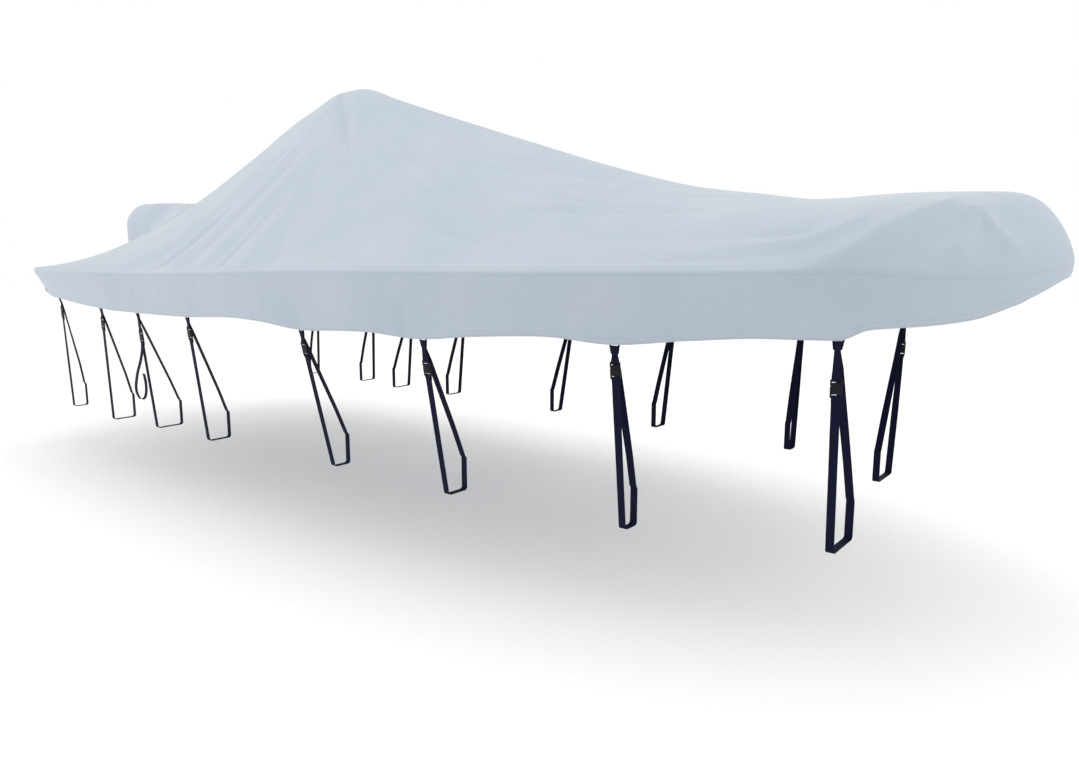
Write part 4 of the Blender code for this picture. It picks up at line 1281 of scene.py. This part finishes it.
def buckleMesh():
    # a side-release buckle: x along the strap and z out of it. The socket is at +x and the pronged half at -x
    half, wide, bevel = buckleForm["length"] / 2, buckleForm["wide"] / 2, buckleForm["bevel"]
    slot, slotHalf, slotWide = buckleForm["slotAt"], buckleForm["slotLong"] / 2, buckleForm["slotWide"] / 2
    parting = buckleForm["parting"]
    parts = []
    for low, high, middle in ((-half, parting, -slot), (parting + buckleForm["partingGap"], half, slot)):
        edge = roundedBox(low, high, -wide, wide, buckleForm["round"])
        hole = roundedBox(middle - slotHalf, middle + slotHalf, -slotWide, slotWide, buckleForm["slotRound"])
        parts.append(plateMesh([edge, hole], buckleForm["plateThick"], bevel))
    socket = [*buckleForm["body"], *((x, -y) for x, y in reversed(buckleForm["body"]))]
    parts.append(plateMesh([socket], buckleForm["bodyThick"], buckleForm["bodyBevel"]))
    for side in (-1, 1):
        prong = [(x, y * side) for x, y in buckleForm["prong"]]
        parts.append(plateMesh([prong[::side]], buckleForm["prongThick"], buckleForm["prongBevel"]))
    return joinMeshes("buckle", parts)


def bucklePlace(hemPoint, run, drop, port):
    # the buckle's frame: along the strap, across it and out of it
    hem, _, outward, along = hemPoint
    centre, way = buckleMiddle(run, hem.z, drop)
    low, high = webEdges([centre], hem.z, along)[0]
    across = (high - low).normalized()
    centre, way, across, out = (flipped(vector, port) for vector in (centre, way, across, outward))
    if way.cross(across).dot(out) < 0:
        across = -across
    square = way.cross(across).normalized()
    turn = Matrix((way, square.cross(way), square)).transposed().to_4x4()
    return Matrix.Translation(centre) @ turn


def makeStraps():
    shared = buckleMesh()
    for name, x, railOut, railIn, portShift, drop in straps["rows"]:
        for port in (False, True):
            side = "port" if port else "starboard"
            label = side.capitalize() + name
            hemPoint = hemFrame(x - portShift * port)
            hem, _, _, along = hemPoint
            loop = addWeb("hemLoop" + label, loopEdges(hemPoint), port, f"hem_loop_{side}_{name}")
            line = strapLine(hemPoint, railOut, railIn, drop)
            edges = webEdges(roundCorners(line, webForm["bendRadius"], webForm["cornerSteps"]), hem.z, along)
            strap = addWeb("strap" + label, edges, port, f"strap_{side}_{name}")
            run = strapRuns(hemPoint, railOut, railIn)[0]
            place = bucklePlace(hemPoint, run, drop, port)
            addPiece("buckle" + label, shared, plastic, f"buckle_{side}_{name}", place)
            if name == strapTail["strap"] and not port:
                makeTail(hemPoint, run)


def makeTail(hemPoint, run):
    hem, _, _, along = hemPoint
    start, end = run
    middle = []
    for out, z in strapTail["rows"]:
        point = start.lerp(end, (start.z - z) / (start.z - end.z))
        middle.append(point - Vector((0.0, out, 0.0)))
    edges = webEdges(smoothLine(middle, strapTail["steps"]), hem.z, along)
    tail = addWeb("strapTail", edges, False, "strap_tail")


def smoothLine(points, steps):
    # a smooth curve through every point
    made = []
    ends = [points[0] * 2 - points[1], *points, points[-1] * 2 - points[-2]]
    for a, b, c, d in zip(ends, ends[1:], ends[2:], ends[3:]):
        for i in range(steps):
            t = i / steps
            square, cube = a * 2 - b * 5 + c * 4 - d, b * 3 - a - c * 3 + d
            made.append((b * 2 + (c - a) * t + square * t**2 + cube * t**3) / 2)
    made.append(points[-1])
    return made


makeHood(skirtMaterial)
makeStraps()
print("hood, straps and buckles made")


# camera, floor and light

studio = {
    "groundZ": -2.246,
    "floorColour": "#f3f2f1",
    "farColour": "#ffffff",
    "farReach": 14.0,  # the floor is white from here outwards, so that it has no horizon
    "nearShare": 0.5,  # inside this share of that reach it has its own colour
    "floorHalf": 40.0,
    "roughness": 0.9,
    "worldColour": "#ffffff",
    "worldStrength": 1.0,
}

softboxes = {  # place, what it points at, size, power and colour
    "overhead": ((0.8, 0.0, 6.0), (0.8, 0.0, -1.0), 5.0, 150.0, (1.0, 0.94, 0.88)),
    "sternSide": ((-7.0, -6.0, 0.5), (-1.0, 0.0, -1.0), 4.0, 198.0, (1.0, 0.96, 0.92)),
    "bowSide": ((9.0, 1.0, 0.2), (3.0, 0.0, -0.9), 3.0, 72.0, (1.0, 0.98, 0.96)),
    "portHigh": ((1.0, 8.0, 4.0), (0.5, 0.0, -1.0), 4.0, 110.0, (1.0, 0.98, 0.96)),
    "front": ((1.0, -9.0, 3.0), (0.5, 0.0, -1.0), 4.0, 56.0, (1.0, 1.0, 1.0)),
    "bowHigh": ((8.0, 0.0, 4.5), (1.5, 0.0, -1.0), 3.5, 22.0, (1.0, 1.0, 1.0)),
}


def aim(thing, place, way):
    thing.location = place
    thing.rotation_euler = way.to_track_quat("-Z", "Y").to_euler()


def placeCamera():
    heading, tilt = math.radians(cameraView["heading"]), math.radians(cameraView["tilt"])
    level = Vector((-math.sin(heading), math.cos(heading), 0.0)) * math.cos(tilt)
    lens = bpy.data.cameras.new("camera")
    lens.sensor_width = cameraView["sensor"]
    lens.lens = cameraView["lens"]
    camera = addObject("camera", lens)
    aim(camera, cameraView["place"], level - Vector((0.0, 0.0, math.sin(tilt))))
    bpy.context.scene.camera = camera


def addSoftbox(name, place, target, size, power, colour):
    light = bpy.data.lights.new(name, "AREA")
    light.size = size
    light.energy = power
    light.color = colour
    aim(addObject(name, light), place, Vector(target) - Vector(place))


def makeStudio():
    material, tree, shader = startMaterial("Studio floor, painted")
    place = addNode(tree, "TexCoord").outputs["Object"]
    near = addNode(tree, "Mapping", {"Scale": (1 / studio["farReach"],) * 3}, {"Vector": place})
    spot = addNode(tree, "TexGradient", {"gradient_type": "SPHERICAL"}, {"Vector": near})
    spread = {"From Max": 1 - studio["nearShare"]}
    spread = addNode(tree, "MapRange", spread, {"Value": spot.outputs["Fac"]})
    colour = addNode(tree, "Mix", colourPair(studio["farColour"], studio["floorColour"]), {0: spread})
    fitNode(tree, shader, {"Roughness": studio["roughness"]}, {"Base Color": colour.outputs[2]})
    mesh = bpy.data.meshes.new("floor")
    half = studio["floorHalf"]
    corners = [(-half, -half, 0), (half, -half, 0), (half, half, 0), (-half, half, 0)]
    mesh.from_pydata(corners, [], [(0, 1, 2, 3)])
    mesh.materials.append(material)
    floor = addObject("floor", mesh)
    floor.location.z = studio["groundZ"]
    world = bpy.data.worlds.new("studio")
    world.use_nodes = True
    background = world.node_tree.nodes["Background"]
    background.inputs["Color"].default_value = linearColour(studio["worldColour"])
    background.inputs["Strength"].default_value = studio["worldStrength"]
    bpy.context.scene.world = world
    for name, settings in softboxes.items():
        addSoftbox(name, *settings)


placeCamera()
makeStudio()
bpy.context.scene.view_settings.view_transform = "Standard"
print("studio ready")
